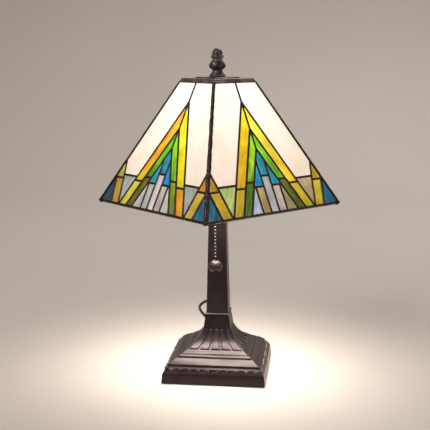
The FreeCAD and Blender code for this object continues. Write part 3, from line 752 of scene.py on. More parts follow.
# ---- stage ------------------------------------------------------------------------------
# The floor, in metres: half its size, where it starts to curve up, the curve and the wall's top.
FLOOR_HALF, WALL_AT, WALL_CURVE, WALL_TOP = 6.0, 1.2, 0.6, 5.0
# The lamp stands a little to the right of the middle, by this share of the frame's width.
SIDE_SHIFT = -0.00705
# Each soft light's name, place, watts, size and colour. All of them face the lamp's column.
SOFT_LIGHTS = (
    ("key_light", (-1.3, -1.5, 1.7), 24.0, 1.3, "#FFF8F0"),
    ("fill_light", (1.7, -1.0, 1.1), 6.0, 1.4, "#F2F3FF"),
    ("back_light", (0.4, 1.4, 1.9), 26.0, 1.4, "#FFF8F4"),
)
LIT_HEIGHT = 0.15
# The light inside the shade: its size, height and spread.
BULB_PATCH, BULB_PATCH_HEIGHT, BULB_SPREAD = 0.14, 0.225, math.radians(115)


class LAMP_OT_stage(bpy.types.Operator):
    """Adds the camera, the pale floor and the lights."""

    bl_idname = "lamp.stage"
    bl_label = "Camera, Floor and Lights"

    def execute(self, context):
        look = context.scene.lamp_stage
        scene = context.scene
        scene.view_settings.view_transform = "Standard"
        back = Vector((
            math.sin(look.azimuth) * math.cos(look.elevation),
            -math.cos(look.azimuth) * math.cos(look.elevation),
            math.sin(look.elevation),
        ))
        lens = bpy.data.cameras.new("camera")
        lens.lens = look.lens
        lens.sensor_width = 36.0
        lens.shift_x = SIDE_SHIFT
        lens.clip_start = 0.05
        lens.clip_end = 50.0
        camera = bpy.data.objects.new("camera", lens)
        camera.rotation_mode = "QUATERNION"
        camera.location = Vector((0, 0, look.look_height)) + back * look.distance
        aimed = (-back).to_track_quat("-Z", "Y")
        camera.rotation_quaternion = aimed @ Matrix.Rotation(look.roll, 3, "Z").to_quaternion()
        scene.collection.objects.link(camera)
        scene.camera = camera

        # A floor that curves up into a wall, well behind the lamp.
        work = bmesh.new()
        turns = [math.radians(10 * step) for step in range(1, 10)]
        wall = [(-FLOOR_HALF, 0.0), (WALL_AT, 0.0)]
        wall += [(WALL_AT + WALL_CURVE * math.sin(a), WALL_CURVE - WALL_CURVE * math.cos(a)) for a in turns]
        wall += [(WALL_AT + WALL_CURVE, WALL_TOP)]
        line = [work.verts.new((-FLOOR_HALF, y, z)) for y, z in wall]
        edges = [work.edges.new(pair) for pair in zip(line, line[1:])]
        swept = bmesh.ops.extrude_edge_only(work, edges=edges)
        moved = [v for v in swept["geom"] if isinstance(v, bmesh.types.BMVert)]
        bmesh.ops.translate(work, verts=moved, vec=(2 * FLOOR_HALF, 0, 0))
        mesh = bpy.data.meshes.new("floor")
        work.to_mesh(mesh)
        work.free()
        mesh.polygons.foreach_set("use_smooth", [True] * len(mesh.polygons))
        mesh.materials.append(pale_floor())
        floor = bpy.data.objects.new("floor", mesh)
        scene.collection.objects.link(floor)

        world = bpy.data.worlds.new("room")
        world.use_nodes = True
        world.node_tree.nodes["Background"].inputs["Color"].default_value = colour("#EFE9E2")
        world.node_tree.nodes["Background"].inputs["Strength"].default_value = look.room_light
        scene.world = world

        for name, place, power, size, tint in SOFT_LIGHTS:
            light = bpy.data.lights.new(name, "AREA")
            light.energy = power
            light.size = size
            light.color = linear(tint)
            box = bpy.data.objects.new(name, light)
            box.location = place
            box.rotation_mode = "QUATERNION"
            aim = Vector((0, 0, LIT_HEIGHT)) - Vector(place)
            box.rotation_quaternion = aim.to_track_quat("-Z", "Y")
            scene.collection.objects.link(box)

        # What the lit bulb and the bright inside of the shade send down through the shade's foot.
        glow = bpy.data.lights.new("shade_light", "AREA")
        glow.energy = look.bulb_power
        glow.size = BULB_PATCH
        glow.spread = BULB_SPREAD
        glow.color = linear("#FFF3E8")
        inside = bpy.data.objects.new("shade_light", glow)
        inside.location = (0.0, 0.0, BULB_PATCH_HEIGHT)
        inside.rotation_euler = (0, 0, math.radians(SHADE_YAW - 45))
        inside.visible_camera = False
        scene.collection.objects.link(inside)
        return {"FINISHED"}


# ---- mains lead -------------------------------------------------------------------------
def coil_points():
    """The put-away turns: clockwise from above, out to in and in to out by turns, layer under layer."""
    steps = 12
    # The lead crosses to its next turn over the last steps of each one.
    crossing = 2
    # A spline of this order runs inside its points, so they stand out by this much.
    outwards = 1 / math.cos(math.pi / steps)
    turns = []
    for layer, height in enumerate(COIL_LAYERS):
        radii = COIL_RADII if layer % 2 == 0 else COIL_RADII[::-1]
        turns += [(radius, height) for radius in radii]
    # The lead comes in from the lamp two steps into its first turn.
    first = 2
    points = []
    for number, (radius, height) in enumerate(turns):
        last_turn = number == len(turns) - 1
        start = first if number == 0 else 0
        stop = steps // 2 + 1 if last_turn else steps
        after = turns[number] if last_turn else turns[number + 1]
        for step in range(start, stop):
            across = max(0.0, (step - steps + crossing) / crossing)
            turn = math.tau * step / steps
            r = (radius + across * (after[0] - radius)) * outwards
            z = height + across * (after[1] - height)
            points.append((COIL_CENTRE[0] + r * math.sin(turn), COIL_CENTRE[1] + r * math.cos(turn), z))
    return points


class LAMP_OT_cord(bpy.types.Operator):
    """Lays the mains lead from its strain relief to its tied coil and its plug."""

    bl_idname = "lamp.cord"
    bl_label = "Mains Lead"

    def execute(self, context):
        lead = context.scene.lamp_cord
        points = CORD_ROUTE + coil_points() + LEAD_ROUTE
        curve = bpy.data.curves.new("mains_lead", "CURVE")
        curve.dimensions = "3D"
        curve.bevel_depth = lead.diameter / 2
        curve.bevel_resolution = 3
        curve.resolution_u = 6
        curve.use_fill_caps = True
        spline = curve.splines.new("NURBS")
        spline.points.add(len(points) - 1)
        for place, (x, y, z) in zip(spline.points, points):
            place.co = (x * MM, y * MM, z * MM, 1.0)
        spline.order_u = 3
        spline.use_endpoint_u = True
        vinyl = moulded("vinyl_lead", opaque(lead.tint), opaque(lead.shade), 0.45, 0.7)
        curve.materials.append(vinyl)
        cord = bpy.data.objects.new("mains_lead", curve)
        context.scene.collection.objects.link(cord)
        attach(cord, STAND)
        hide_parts("power_cord", "cord_coil")
        refinish(vinyl, "inner_cord", "strain_relief")
        refinish(moulded("tie_vinyl", colour("#191512"), colour("#241E1A"), 0.5, 0.5), "cord_tie")
        refinish(moulded("plug_moulding", colour("#2A1C16"), colour("#20150F"), 0.45, 0.8), "plug_body")
        refinish(worked_metal("brass_blades", "#C8A45A", 0.3), "plug_blades")
        return {"FINISHED"}


# ---- base -------------------------------------------------------------------------------
def smooth_step(share):
    """Eases a share from 0 to 1, and holds it there beyond."""
    share = min(1.0, max(0.0, share))
    return share * share * (3 - 2 * share)


def tongue_height(u, half, along, length):
    """How far the cove stands out at a point: five raised, tapering tongues on each side."""
    pitch = 2 / TONGUES
    middle = round(u / pitch) * pitch
    wide = TONGUE_HALF * half
    low, high = TONGUE_FOOT_GAP, length - TONGUE_HEAD_GAP
    x = abs(u - middle) * half
    y = abs(along - (low + high) / 2)
    # The foot has small corners, and the head is a half round.
    corner = TONGUE_CORNER if along < (low + high) / 2 else wide
    over_x = x - (wide - corner)
    over_y = y - ((high - low) / 2 - corner)
    outside = math.hypot(max(over_x, 0), max(over_y, 0))
    inside = min(max(over_x, over_y), 0)
    depth = corner - outside - inside
    faded = (along / length - TONGUE_FADE_FROM) / (1 - TONGUE_FADE_FROM)
    fade = 1 - TONGUE_FADE * smooth_step(faded)
    return TONGUE_RISE * fade * smooth_step(depth / TONGUE_EDGE)


def base_rows():
    """The casting's outline from the foot to the top, as (half-width, height, way along the cove)."""
    cove = arc_points(COVE_FOOT, COVE_MIDDLE, COVE_HEAD, COVE_STEPS)
    plain = PAD + EGG_BAND + SHADOW_GROOVE + LOW_BAND + HIGH_BAND
    rows = [(0.0, PAD[0][1], None)] + [(half, height, None) for half, height in plain]
    step = math.dist(cove[0], cove[1])
    rows += [(half, height, number * step) for number, (half, height) in enumerate(cove)]
    rows += [(half, height, None) for half, height in NECK + RIDGE]
    return rows + [(0.0, RIDGE[-1][1], None)]


def base_columns():
    """Places across a side, close together at the edges of the tongues."""
    pitch = 2 / TONGUES
    offsets = (*TONGUE_COLUMNS, pitch / 2)
    middles = [pitch * number for number in range(-(TONGUES // 2), TONGUES // 2 + 1)]
    places = {round(middle + way * offset, 6) for middle in middles for offset in offsets for way in (-1, 1)}
    return sorted(places)


def base_side():
    """One side of the casting, from mitre to mitre, facing -Y."""
    rows, columns = base_rows(), base_columns()
    cove_length = max(row[2] or 0 for row in rows)
    work = bmesh.new()
    bmesh.ops.create_grid(work, x_segments=len(columns) - 1, y_segments=len(rows) - 1, size=1.0)
    for vert in work.verts:
        u = columns[round((vert.co.x + 1) / 2 * (len(columns) - 1))]
        number = round((vert.co.y + 1) / 2 * (len(rows) - 1))
        half, height, along = rows[number]
        out, up = 0.0, 0.0
        if along is not None:
            before, after = rows[number - 1], rows[number + 1]
            way = Vector((after[0] - before[0], after[1] - before[1])).normalized()
            rise = tongue_height(u, half, along, cove_length)
            out, up = way.y * rise, -way.x * rise
        vert.co = (u * half, -half - out, height + up)
    return work


def egg_and_dart():
    """The cast border round the foot: an egg in its shell, then a dart, all along each side."""
    work = bmesh.new()
    half = (EGG_BAND[0][0] + EGG_BAND[1][0]) / 2
    height = (EGG_BAND[0][1] + EGG_BAND[1][1]) / 2
    lean = Matrix.Rotation(math.radians(BORDER_LEAN), 4, "X")
    pitch = 2 * (half - BORDER_END) / EGGS
    for side in range(4):
        turn = Matrix.Rotation(math.radians(90 * side), 4, "Z")
        for number in range(EGGS):
            x = (number + 0.5) * pitch - EGGS * pitch / 2
            place = turn @ Matrix.Translation((x, -half, height)) @ lean
            shapes = [
                ((0, -0.2, 0.7), EGG_SIZE, 10),
                ((SHELL_OFF, -0.2, 0.8), SHELL_SIZE, 8),
                ((-SHELL_OFF, -0.2, 0.8), SHELL_SIZE, 8),
                ((pitch / 2, 0, -0.4), DART_SIZE, 8),
            ]
            for centre, size, steps in shapes:
                made = bmesh.ops.create_uvsphere(work, u_segments=steps, v_segments=5, radius=1.0)
                fit = place @ Matrix.Translation(centre) @ Matrix.Diagonal((*size, 1.0))
                bmesh.ops.transform(work, matrix=fit, verts=made["verts"])
    return work


class LAMP_OT_base(bpy.types.Operator):
    """Casts the fluted base with its border and lays the felt under it."""

    bl_idname = "lamp.base"
    bl_label = "Base"

    def execute(self, context):
        look = context.scene.lamp_base
        bronze = bronze_lacquer("zinc_cast_bronzed", opaque(look.lacquer), opaque(look.thin), rough=0.38)
        work = base_side()
        side = work.faces[:] + work.edges[:] + work.verts[:]
        for number in range(1, 4):
            copied = bmesh.ops.duplicate(work, geom=side)
            verts = [v for v in copied["geom"] if isinstance(v, bmesh.types.BMVert)]
            turn = Matrix.Rotation(math.radians(90 * number), 3, "Z")
            bmesh.ops.rotate(work, verts=verts, cent=(0, 0, 0), matrix=turn)
        bmesh.ops.remove_doubles(work, verts=work.verts, dist=0.002)
        bmesh.ops.recalc_face_normals(work, faces=work.faces)
        finished(
            "base_casting_moulded",
            scaled(work),
            bronze,
            STAND,
            ["base_casting"],
            sharp=28,
        )
        # The border stands proud, so its lacquer is rubbed through to a lighter brown.
        # Its light colours also paint in the highlights that the eggs and darts catch.
        rubbed = bronze_lacquer("zinc_cast_rubbed_highlit", opaque(look.rubbed), colour("#A89890"), rough=0.3)
        finished("base_egg_and_dart", scaled(egg_and_dart()), rubbed, STAND)
        refinish(pressed_felt(), "base_felt")
        column = eased(copy_of("column"), 0.25, angle=20)
        finished("column_post", column, bronze, STAND, ["column"])
        cap = eased(copy_of("column_cap"), 0.3)
        finished("column_cap_cast", cap, bronze, STAND, ["column_cap"])
        return {"FINISHED"}


# ---- socket, harp and bulb --------------------------------------------------------------
class LAMP_OT_fittings(bpy.types.Operator):
    """Finishes the rod, the socket, the harp and the bulb."""

    bl_idname = "lamp.fittings"
    bl_label = "Socket, Harp and Bulb"

    def execute(self, context):
        zinc = worked_metal("steel_zinc_plated", "#B8B6B0", 0.34)
        brass = worked_metal("brass_drawn", "#B08A48", 0.3, mark=0.0018)
        refinish(zinc, "rod_washer", "rod_nuts", "harp_saddle", "harp_ferrules", "harp_stud")
        refinish(threaded("steel_rolled_thread", "#A8A69E", 0.00094, 0.35), "threaded_rod")
        refinish(brass, "socket_cap", "socket_shell", "chain_bell", "socket_contact", "socket_screw_shell")
        refinish(moulded("fibre_sleeve", colour("#4A4238"), colour("#3A342C"), 0.85, 0.6), "socket_liner")
        refinish(moulded("phenolic_moulded", colour("#1C1714"), colour("#120F0D"), 0.35, 0.9), "socket_body")
        refinish(worked_metal("wire_bronze_plated", "#6A5238", 0.32), "harp")
        refinish(threaded("aluminium_rolled", "#CFCFCB", 0.00363, 0.3), "bulb_cap")
        black_glass = moulded("cap_glass_black", colour("#0E0C12"), colour("#16131C"), 0.15, 0.9)
        refinish(black_glass, "bulb_insulator")
        refinish(worked_metal("contact_tinned", "#C9C7C0", 0.3), "bulb_tip")
        refinish(lit_bulb(), "bulb_glass")
        return {"FINISHED"}


class LAMP_OT_chain(bpy.types.Operator):
    """Finishes the pull chain and its ball."""

    bl_idname = "lamp.chain"
    bl_label = "Pull Chain"

    def execute(self, context):
        nickel = worked_metal("chain_nickel_plated", "#646266", 0.2, worn="#3C3A3C")
        refinish(nickel, "chain_link", "pull_chain")
        bronze = bronze_lacquer("knob_bronzed", colour("#2A2021"), colour("#403434"), rough=0.33, grain=0.6)
        refinish(bronze, "pull_knob")
        return {"FINISHED"}


# ---- shade ------------------------------------------------------------------------------
def side_at(height):
    """Half-width of a panel at a distance up its slope."""
    return SHADE_SIDE / 2 - RUN * height / SLANT


def between(foot, tip, height):
    """Where the slanting line from (foot, 0) to (0, tip) is at a height."""
    return (foot * (1 - height / tip), height)


def on_line(low, high, height):
    """Where the line through two corners is at a height."""
    share = (height - low[1]) / (high[1] - low[1])
    return (low[0] + share * (high[0] - low[0]), height)


def pattern():
    """The pieces of one panel by glass, as outlines; pieces off the centre line are mirrored."""
    chevron_foot = (CHEVRON_FOOT, 0.0)
    kite_top = (side_at(KITE_PEAK), KITE_PEAK)
    kite_low = on_line(chevron_foot, kite_top, KITE_BREAK)
    kite_inner = between(CHEVRON_FOOT, CHEVRON_TIP, KITE_BREAK)
    corner_line = (CORNER_LINE, 0.0)
    corner_peak = (side_at(CORNER_RISE), CORNER_RISE)
    band_inner = on_line(chevron_foot, kite_top, AMBER_BREAK)
    band_outer = on_line(corner_line, corner_peak, AMBER_BREAK)
    chevron_break = between(CHEVRON_FOOT, CHEVRON_TIP, AMBER_BREAK)
    amber_break = between(AMBER_FOOT, AMBER_TIP, AMBER_BREAK)
    amber_green = between(AMBER_FOOT, AMBER_TIP, GREEN_BREAK)
    green_break = between(GREEN_FOOT, GREEN_TIP, GREEN_BREAK)
    blue_edge = between(GREEN_FOOT, GREEN_TIP, AMBER_BREAK)
    strip_tip = (STRIP, GREEN_TIP * (1 - STRIP / GREEN_FOOT))
    pieces = {
        "white": [
            [(0, SLANT), (0, CHEVRON_TIP), kite_inner, kite_low, kite_top, (side_at(SLANT), SLANT)],
        ],
        "amber": [
            [(0, CHEVRON_TIP), (0, AMBER_TIP), amber_break, chevron_break],
            [amber_break, (AMBER_FOOT, 0), chevron_foot, chevron_break],
            [kite_top, band_inner, band_outer, corner_peak],
            [band_inner, chevron_foot, corner_line, band_outer],
        ],
        "green": [
            [(0, AMBER_TIP), (0, GREEN_TIP), green_break, amber_green],
            [green_break, (GREEN_FOOT, 0), (AMBER_FOOT, 0), amber_green],
        ],
        "blue": [
            [
                (0, GREEN_TIP),
                (-strip_tip[0], strip_tip[1]),
                (-STRIP, STRIP_BREAK),
                (STRIP, STRIP_BREAK),
                strip_tip,
            ],
            [strip_tip, (STRIP, AMBER_BREAK), blue_edge],
            [corner_line, (side_at(0), 0), corner_peak],
        ],
        "streaky": [
            [(-STRIP, STRIP_BREAK), (-STRIP, 0), (STRIP, 0), (STRIP, STRIP_BREAK)],
            [(STRIP, AMBER_BREAK), (STRIP, 0), (STRIP_OUTER, 0), (STRIP_OUTER, AMBER_BREAK)],
            [(STRIP_OUTER, AMBER_BREAK), (STRIP_OUTER, 0), (GREEN_FOOT, 0), blue_edge],
            [kite_inner, chevron_foot, kite_low],
        ],
    }
    for shapes in pieces.values():
        for shape in list(shapes):
            if min(x for x, _ in shape) >= 0:
                shapes.append([(-x, y) for x, y in reversed(shape)])
    return pieces


# Colour of each pane as (top, foot, wisp), in the order that pattern() gives: the pieces right of
# the centre line as one faces the panel, then the same pieces left of it.
# Most tops are lighter than their feet: partly the glass's own colour, partly painted light from the bulb
# above.
LEFT_PANEL = {
    "white": [("#FFFBEC", "#F7DEC6", "#FFF0DC"), ("#FFFBEC", "#F8E2CC", "#FFF2E0")],
    "amber": [
        ("#FFF632", "#DCD010", "#F0D818"), ("#FBA31C", "#EE8C16", "#F5B428"),
        ("#D88C1C", "#C07C0C", "#E0A030"), ("#D8B840", "#C0A028", "#E0C858"),
        ("#F8B02C", "#DCD228", "#F0801E"), ("#E0D834", "#CCC02A", "#F0E050"),
        ("#DCD250", "#B4B03C", "#E8DC60"), ("#C89C38", "#B08420", "#D0A848"),
    ],
    "green": [
        ("#8CE01A", "#479A1E", "#A8E030"), ("#7A9420", "#627C12", "#90A030"),
        ("#62CC1C", "#3E9418", "#8AD828"), ("#6E6A28", "#544E16", "#807A34"),
    ],
    "blue": [
        ("#1C9AB4", "#1A7C90", "#3CB0C0"), ("#1C9EE0", "#0A86D0", "#38B0E8"),
        ("#2E7C9C", "#1C5876", "#3C90B0"), ("#2EA0C8", "#1888B0", "#50B8D0"),
        ("#36525C", "#223E4A", "#466870"),
    ],
    "streaky": [
        ("#DCD0C4", "#C8BCAE", "#EEE4DA"), ("#C0BAB0", "#B4AEA4", "#D8D2CA"),
        ("#C4C0B4", "#BCB6AA", "#DAD6CC"), ("#98A096", "#A0A69E", "#B4BCB2"),
        ("#B4B6AE", "#A8ACA4", "#CCCEC8"), ("#C8C6BC", "#B6B6AC", "#DCDAD2"),
        ("#A6A9A4", "#B2B3AC", "#C0C4BE"),
    ],
}
RIGHT_PANEL = {
    "white": [("#FFFBEC", "#F5DCC4", "#FFF0DC"), ("#FFFBEC", "#F5DCC4", "#FFF0DE")],
    "amber": [
        ("#FFF548", "#F4BC18", "#FFDC30"), ("#DCBC20", "#C0A012", "#E4C838"),
        ("#CCA214", "#B48C0C", "#D8B428"), ("#D6BE22", "#C4AA14", "#E0CC3C"),
        ("#FFEA24", "#D0900A", "#F0C010"), ("#CCAC1C", "#B89812", "#DCC038"),
        ("#DCA41C", "#B88C0E", "#E4B434"), ("#D09C1A", "#C4AC14", "#DCB830"),
    ],
    "green": [
        ("#88DC18", "#4CA412", "#A0E028"), ("#66681C", "#4A5412", "#7A7C28"),
        ("#9CE218", "#58A412", "#C0E030"), ("#4C7C14", "#34600C", "#649020"),
    ],
    "blue": [
        ("#1CA0B4", "#188CA0", "#3CB4C0"), ("#14A4C4", "#0C7894", "#30B0C8"),
        ("#2478A4", "#1A6690", "#3088B0"), ("#14A6CC", "#0888C4", "#38B8D4"),
        ("#24708A", "#17506A", "#348498"),
    ],
    "streaky": [
        ("#A4ACA8", "#B4BCBA", "#CCD4D2"), ("#C8B09C", "#B8A492", "#D8C6B6"),
        ("#9A925A", "#867E4A", "#AEA66C"), ("#C4A878", "#B49864", "#D4BC90"),
        ("#BC9658", "#B09050", "#CCB078"), ("#BCC2CC", "#AEBCD2", "#D6DAE4"),
        ("#A4B88C", "#AEBE86", "#D0E050"),
    ],
}
PANELS = (
    ("left", LEFT_PANEL),
    ("right", RIGHT_PANEL),
    ("back_right", LEFT_PANEL),
    ("back_left", RIGHT_PANEL),
)


def shade_turn(side):
    """The shade's own turn, and a quarter turn more for each side."""
    return Matrix.Rotation(math.radians(SHADE_YAW - 45 + 90 * side), 4, "Z")


def panel_place(side):
    """Takes (across, up the slope, outwards) in millimetres to a panel's place on the shade."""
    slope = Vector((0, RUN / SLANT, RISE / SLANT))
    out = Vector((0, -RISE / SLANT, RUN / SLANT))
    facing = Matrix((
        (1, slope.x, out.x, 0),
        (0, slope.y, out.y, -SHADE_SIDE / 2),
        (0, slope.z, out.z, SHADE_FOOT),
        (0, 0, 0, 1),
    ))
    return shade_turn(side) @ facing


def with_junctions(outline, corners):
    """An outline with its neighbours' corners added where they lie on its edges."""
    points = []
    for a, b in zip(outline, outline[1:] + outline[:1]):
        a, b = Vector(a), Vector(b)
        way = b - a
        on_edge = []
        for corner in corners:
            share = (corner - a).dot(way) / way.length_squared
            if 0.001 < share < 0.999 and (corner - a - way * share).length < 0.02:
                on_edge.append((share, corner))
        points.append(a)
        points += [corner for _, corner in sorted(on_edge, key=lambda pair: pair[0])]
    return points


def outline_face(work, points):
    """A flat face in panel coordinates that looks outwards."""
    face = work.faces.new([work.verts.new((x, y, 0)) for x, y in points])
    face.normal_update()
    if face.normal.z < 0:
        face.normal_flip()
    return face


def settled(work):
    """Makes two kinds of line finer than the others: the seam between the two white pieces, and the
    borders that go under the cap and the corner beads."""
    lean = SLANT / math.hypot(SLANT, RUN)
    for vert in work.verts:
        x, y = abs(vert.co.x), vert.co.y
        if y > CHEVRON_TIP - 1 and x < SEAM_REACH:
            vert.co.x *= 1 - SEAM_TAKEN * smooth_step((y - CHEVRON_TIP + 1) / 8)
        gap = (side_at(y) - x) * lean
        if 0.01 < gap < BORDER_REACH:
            vert.co.x += math.copysign(CORNER_BORDER_TAKEN * gap / lean, vert.co.x)
        if 0.01 < SLANT - y < BORDER_REACH:
            vert.co.y += TOP_BORDER_TAKEN * (SLANT - y)


def lead_panel(lead):
    """The solder network of one panel: a rounded bead along every line, on both faces."""
    work = bmesh.new()
    outlines = [shape for shapes in pattern().values() for shape in shapes]
    corners = [Vector(point) for shape in outlines for point in shape]
    for shape in outlines:
        outline_face(work, with_junctions(shape, corners))
    bmesh.ops.remove_doubles(work, verts=work.verts, dist=0.02)
    bmesh.ops.translate(work, verts=work.verts, vec=(0, 0, lead.crown - GLASS_SET_BACK))
    panes = work.faces[:]
    last_share, last_height = 0.0, 1.0
    for share in (0.38, 0.7, 0.92, 1.0):
        height = math.sqrt(1 - share * share)
        bmesh.ops.inset_individual(
            work,
            faces=panes,
            thickness=lead.half_width * (share - last_share),
            depth=lead.crown * (height - last_height),
            use_even_offset=True,
        )
        last_share, last_height = share, height
    bmesh.ops.delete(work, geom=panes, context="FACES")
    settled(work)
    # Cuts across the lines, every few millimetres, give the solder points to be lumpy with.
    for number in range(1, int(SLANT / LINE_CUTS)):
        cut_all(work, (0, number * LINE_CUTS, 0), (0, 1, 0))
    across = int(SHADE_SIDE / 2 / LINE_CUTS)
    for number in range(-across, across + 1):
        cut_all(work, (number * LINE_CUTS, 0, 0), (1, 0, 0))
    for vert in work.verts:
        above = vert.co.z + GLASS_SET_BACK
        vert.co.z += above * LINE_LUMPS * noise.noise(vert.co / LINE_LUMP_LONG)
    # The inner face is the outer one's mirror image, and walls join the two inside the glass.
    outer = work.faces[:]
    open_edges = [e for e in work.edges if e.is_boundary]
    walls = bmesh.ops.extrude_edge_only(work, edges=open_edges)
    wall_verts = [v for v in walls["geom"] if isinstance(v, bmesh.types.BMVert)]
    geometry = list({v for f in outer for v in f.verts}) + list({e for f in outer for e in f.edges}) + outer
    inner = bmesh.ops.duplicate(work, geom=geometry)
    inner_verts = [v for v in inner["geom"] if isinstance(v, bmesh.types.BMVert)]
    for vert in wall_verts + inner_verts:
        vert.co.z = -LEAD_THICK - vert.co.z
    bmesh.ops.remove_doubles(work, verts=work.verts, dist=1e-4)
    bmesh.ops.recalc_face_normals(work, faces=work.faces)
    return work


def cut_all(work, place, across):
    """Cuts every face that a plane meets, and keeps both halves."""
    geometry = work.verts[:] + work.edges[:] + work.faces[:]
    bmesh.ops.bisect_plane(work, geom=geometry, dist=1e-4, plane_co=place, plane_no=across)


def solder_rod(start, end, radius_start, radius_end, lump, out=None, flat=1.0):
    """A bead of solder along an edge, a little uneven, and flatter in the direction given."""
    start, end = Vector(start), Vector(end)
    length = (end - start).length
    work = bmesh.new()
    bmesh.ops.create_cone(
        work,
        cap_ends=True,
        segments=16,
        radius1=radius_start,
        radius2=radius_end,
        depth=length,
    )
    for number in range(1, int(length / ROD_CUTS)):
        cut_all(work, (0, 0, number * ROD_CUTS - length / 2), (0, 0, 1))
    aimed = (end - start).to_track_quat("Z", "Y").to_matrix().to_4x4()
    place = Matrix.Translation((start + end) / 2) @ aimed
    bmesh.ops.transform(work, matrix=place, verts=work.verts)
    axis = (end - start).normalized()
    for vert in work.verts:
        off_axis = vert.co - start - axis * (vert.co - start).dot(axis)
        vert.co += off_axis * lump * noise.noise(vert.co / ROD_LUMP_LONG)
        if out is not None:
            vert.co -= out * (1 - flat) * off_axis.dot(out)
    bmesh.ops.recalc_face_normals(work, faces=work.faces)
    return work


def joined(pieces):
    """One bmesh from several."""
    whole = bmesh.new()
    for piece in pieces:
        mesh = bpy.data.meshes.new("part")
        piece.to_mesh(mesh)
        piece.free()
        whole.from_mesh(mesh)
        bpy.data.meshes.remove(mesh)
    return whole


def ball(place, radius):
    """The drop of solder where a corner bead ends."""
    work = bmesh.new()
    bmesh.ops.create_icosphere(work, subdivisions=3, radius=radius)
    for vert in work.verts:
        vert.co *= 1 + BALL_LUMPS * noise.noise(vert.co / BALL_LUMP_LONG + place)
    bmesh.ops.translate(work, verts=work.verts, vec=place)
    return work


class LAMP_OT_lead(bpy.types.Operator):
    """Runs the solder lines of the shade, its corner beads and its rim."""

    bl_idname = "lamp.lead"
    bl_label = "Lead Lines"

    def execute(self, context):
        lead = context.scene.lamp_lead
        patina = solder()
        panels = []
        corners = []
        rims = []
        half, top_half = SHADE_SIDE / 2, SHADE_TOP_SIDE / 2
        inwards = Vector((1, 1, 0)).normalized()
        for side in range(4):
            panel = lead_panel(lead)
            bmesh.ops.transform(panel, matrix=panel_place(side), verts=panel.verts)
            panels.append(panel)
            turn = shade_turn(side)
            foot = turn @ (Vector((-half, -half, SHADE_FOOT + CORNER_FOOT_UP)) + inwards * CORNER_FOOT_IN)
            top = turn @ (Vector((-top_half, -top_half, SHADE_TOP + CORNER_TOP_UP)) + inwards * CORNER_TOP_IN)
            share = 1.0 if side == FRONT_CORNER else OTHER_CORNERS
            wide, narrow = lead.corner_foot * share, lead.corner_top * share
            corners.append(solder_rod(foot, top, wide, narrow, CORNER_LUMPS, turn @ inwards, CORNER_FLAT))
            corners.append(ball(foot, wide * BALL_SHARE))
            rim_seat = Vector((0, -half + RIM_IN, SHADE_FOOT + RIM_UP))
            reach = Vector((half - RIM_IN, 0, 0))
            left, right = turn @ (rim_seat - reach), turn @ (rim_seat + reach)
            rims.append(solder_rod(left, right, lead.rim, lead.rim, RIM_LUMPS))
        for node, pieces in (("lead_lines", panels), ("corner_beads", corners), ("rim_beads", rims)):
            beads = scaled(joined(pieces))
            finished(f"{node}_soldered", beads, patina, SHADE, [node], sharp=60)
        return {"FINISHED"}


def pane(shape, tints, number, half_width):
    """One piece of glass with its edges softened, its colours and its own map."""
    work = bmesh.new()
    face = outline_face(work, shape)
    bmesh.ops.inset_individual(
        work,
        faces=[face],
        thickness=half_width - PANE_OVERLAP,
        use_even_offset=True,
    )
    ring = [f for f in work.faces if f is not face]
    bmesh.ops.delete(work, geom=ring, context="FACES")
    settled(work)
    bmesh.ops.translate(work, verts=work.verts, vec=(0, 0, -GLASS_SET_BACK - PANE_UNDER))
    bmesh.ops.inset_individual(
        work,
        faces=work.faces[:],
        thickness=PANE_EASE_WIDE,
        depth=PANE_EASE_DEEP,
        use_even_offset=True,
    )
    bmesh.ops.solidify(work, geom=work.faces[:], thickness=GLASS_THICK)
    bmesh.ops.recalc_face_normals(work, faces=work.faces)
    top, foot, wisp = [colour(code) for code in tints]
    heights = [y for _, y in shape]
    low, high = min(heights), max(heights)
    pairs = [(Vector(a), Vector(b)) for a in shape for b in shape]
    first, last = max(pairs, key=lambda pair: (pair[1] - pair[0]).length)
    length_way = (last - first).normalized()
    # Each pane is cut from its own place on the sheet, in metres.
    offset = number * Vector((0.137, 0.071))
    tint_and_light_layer = work.loops.layers.float_color.new("pane_tint_and_light")
    wisp_layer = work.loops.layers.float_color.new("pane_wisp")
    map_layer = work.loops.layers.uv.new("pane_map")
    for cell in work.faces:
        for loop in cell.loops:
            x, y, _ = loop.vert.co
            # Each pane runs from its foot colour to its top colour, partly as painted light that is brighter
            # nearer the bulb.
            share = smooth_step((y - low) / (high - low))
            loop[tint_and_light_layer] = Vector(foot).lerp(Vector(top), share)
            loop[wisp_layer] = wisp
            lengthways = (x * length_way.x + y * length_way.y) * MM
            across = (y * length_way.x - x * length_way.y) * MM
            loop[map_layer].uv = (lengthways + offset.x, across + offset.y)
    return work


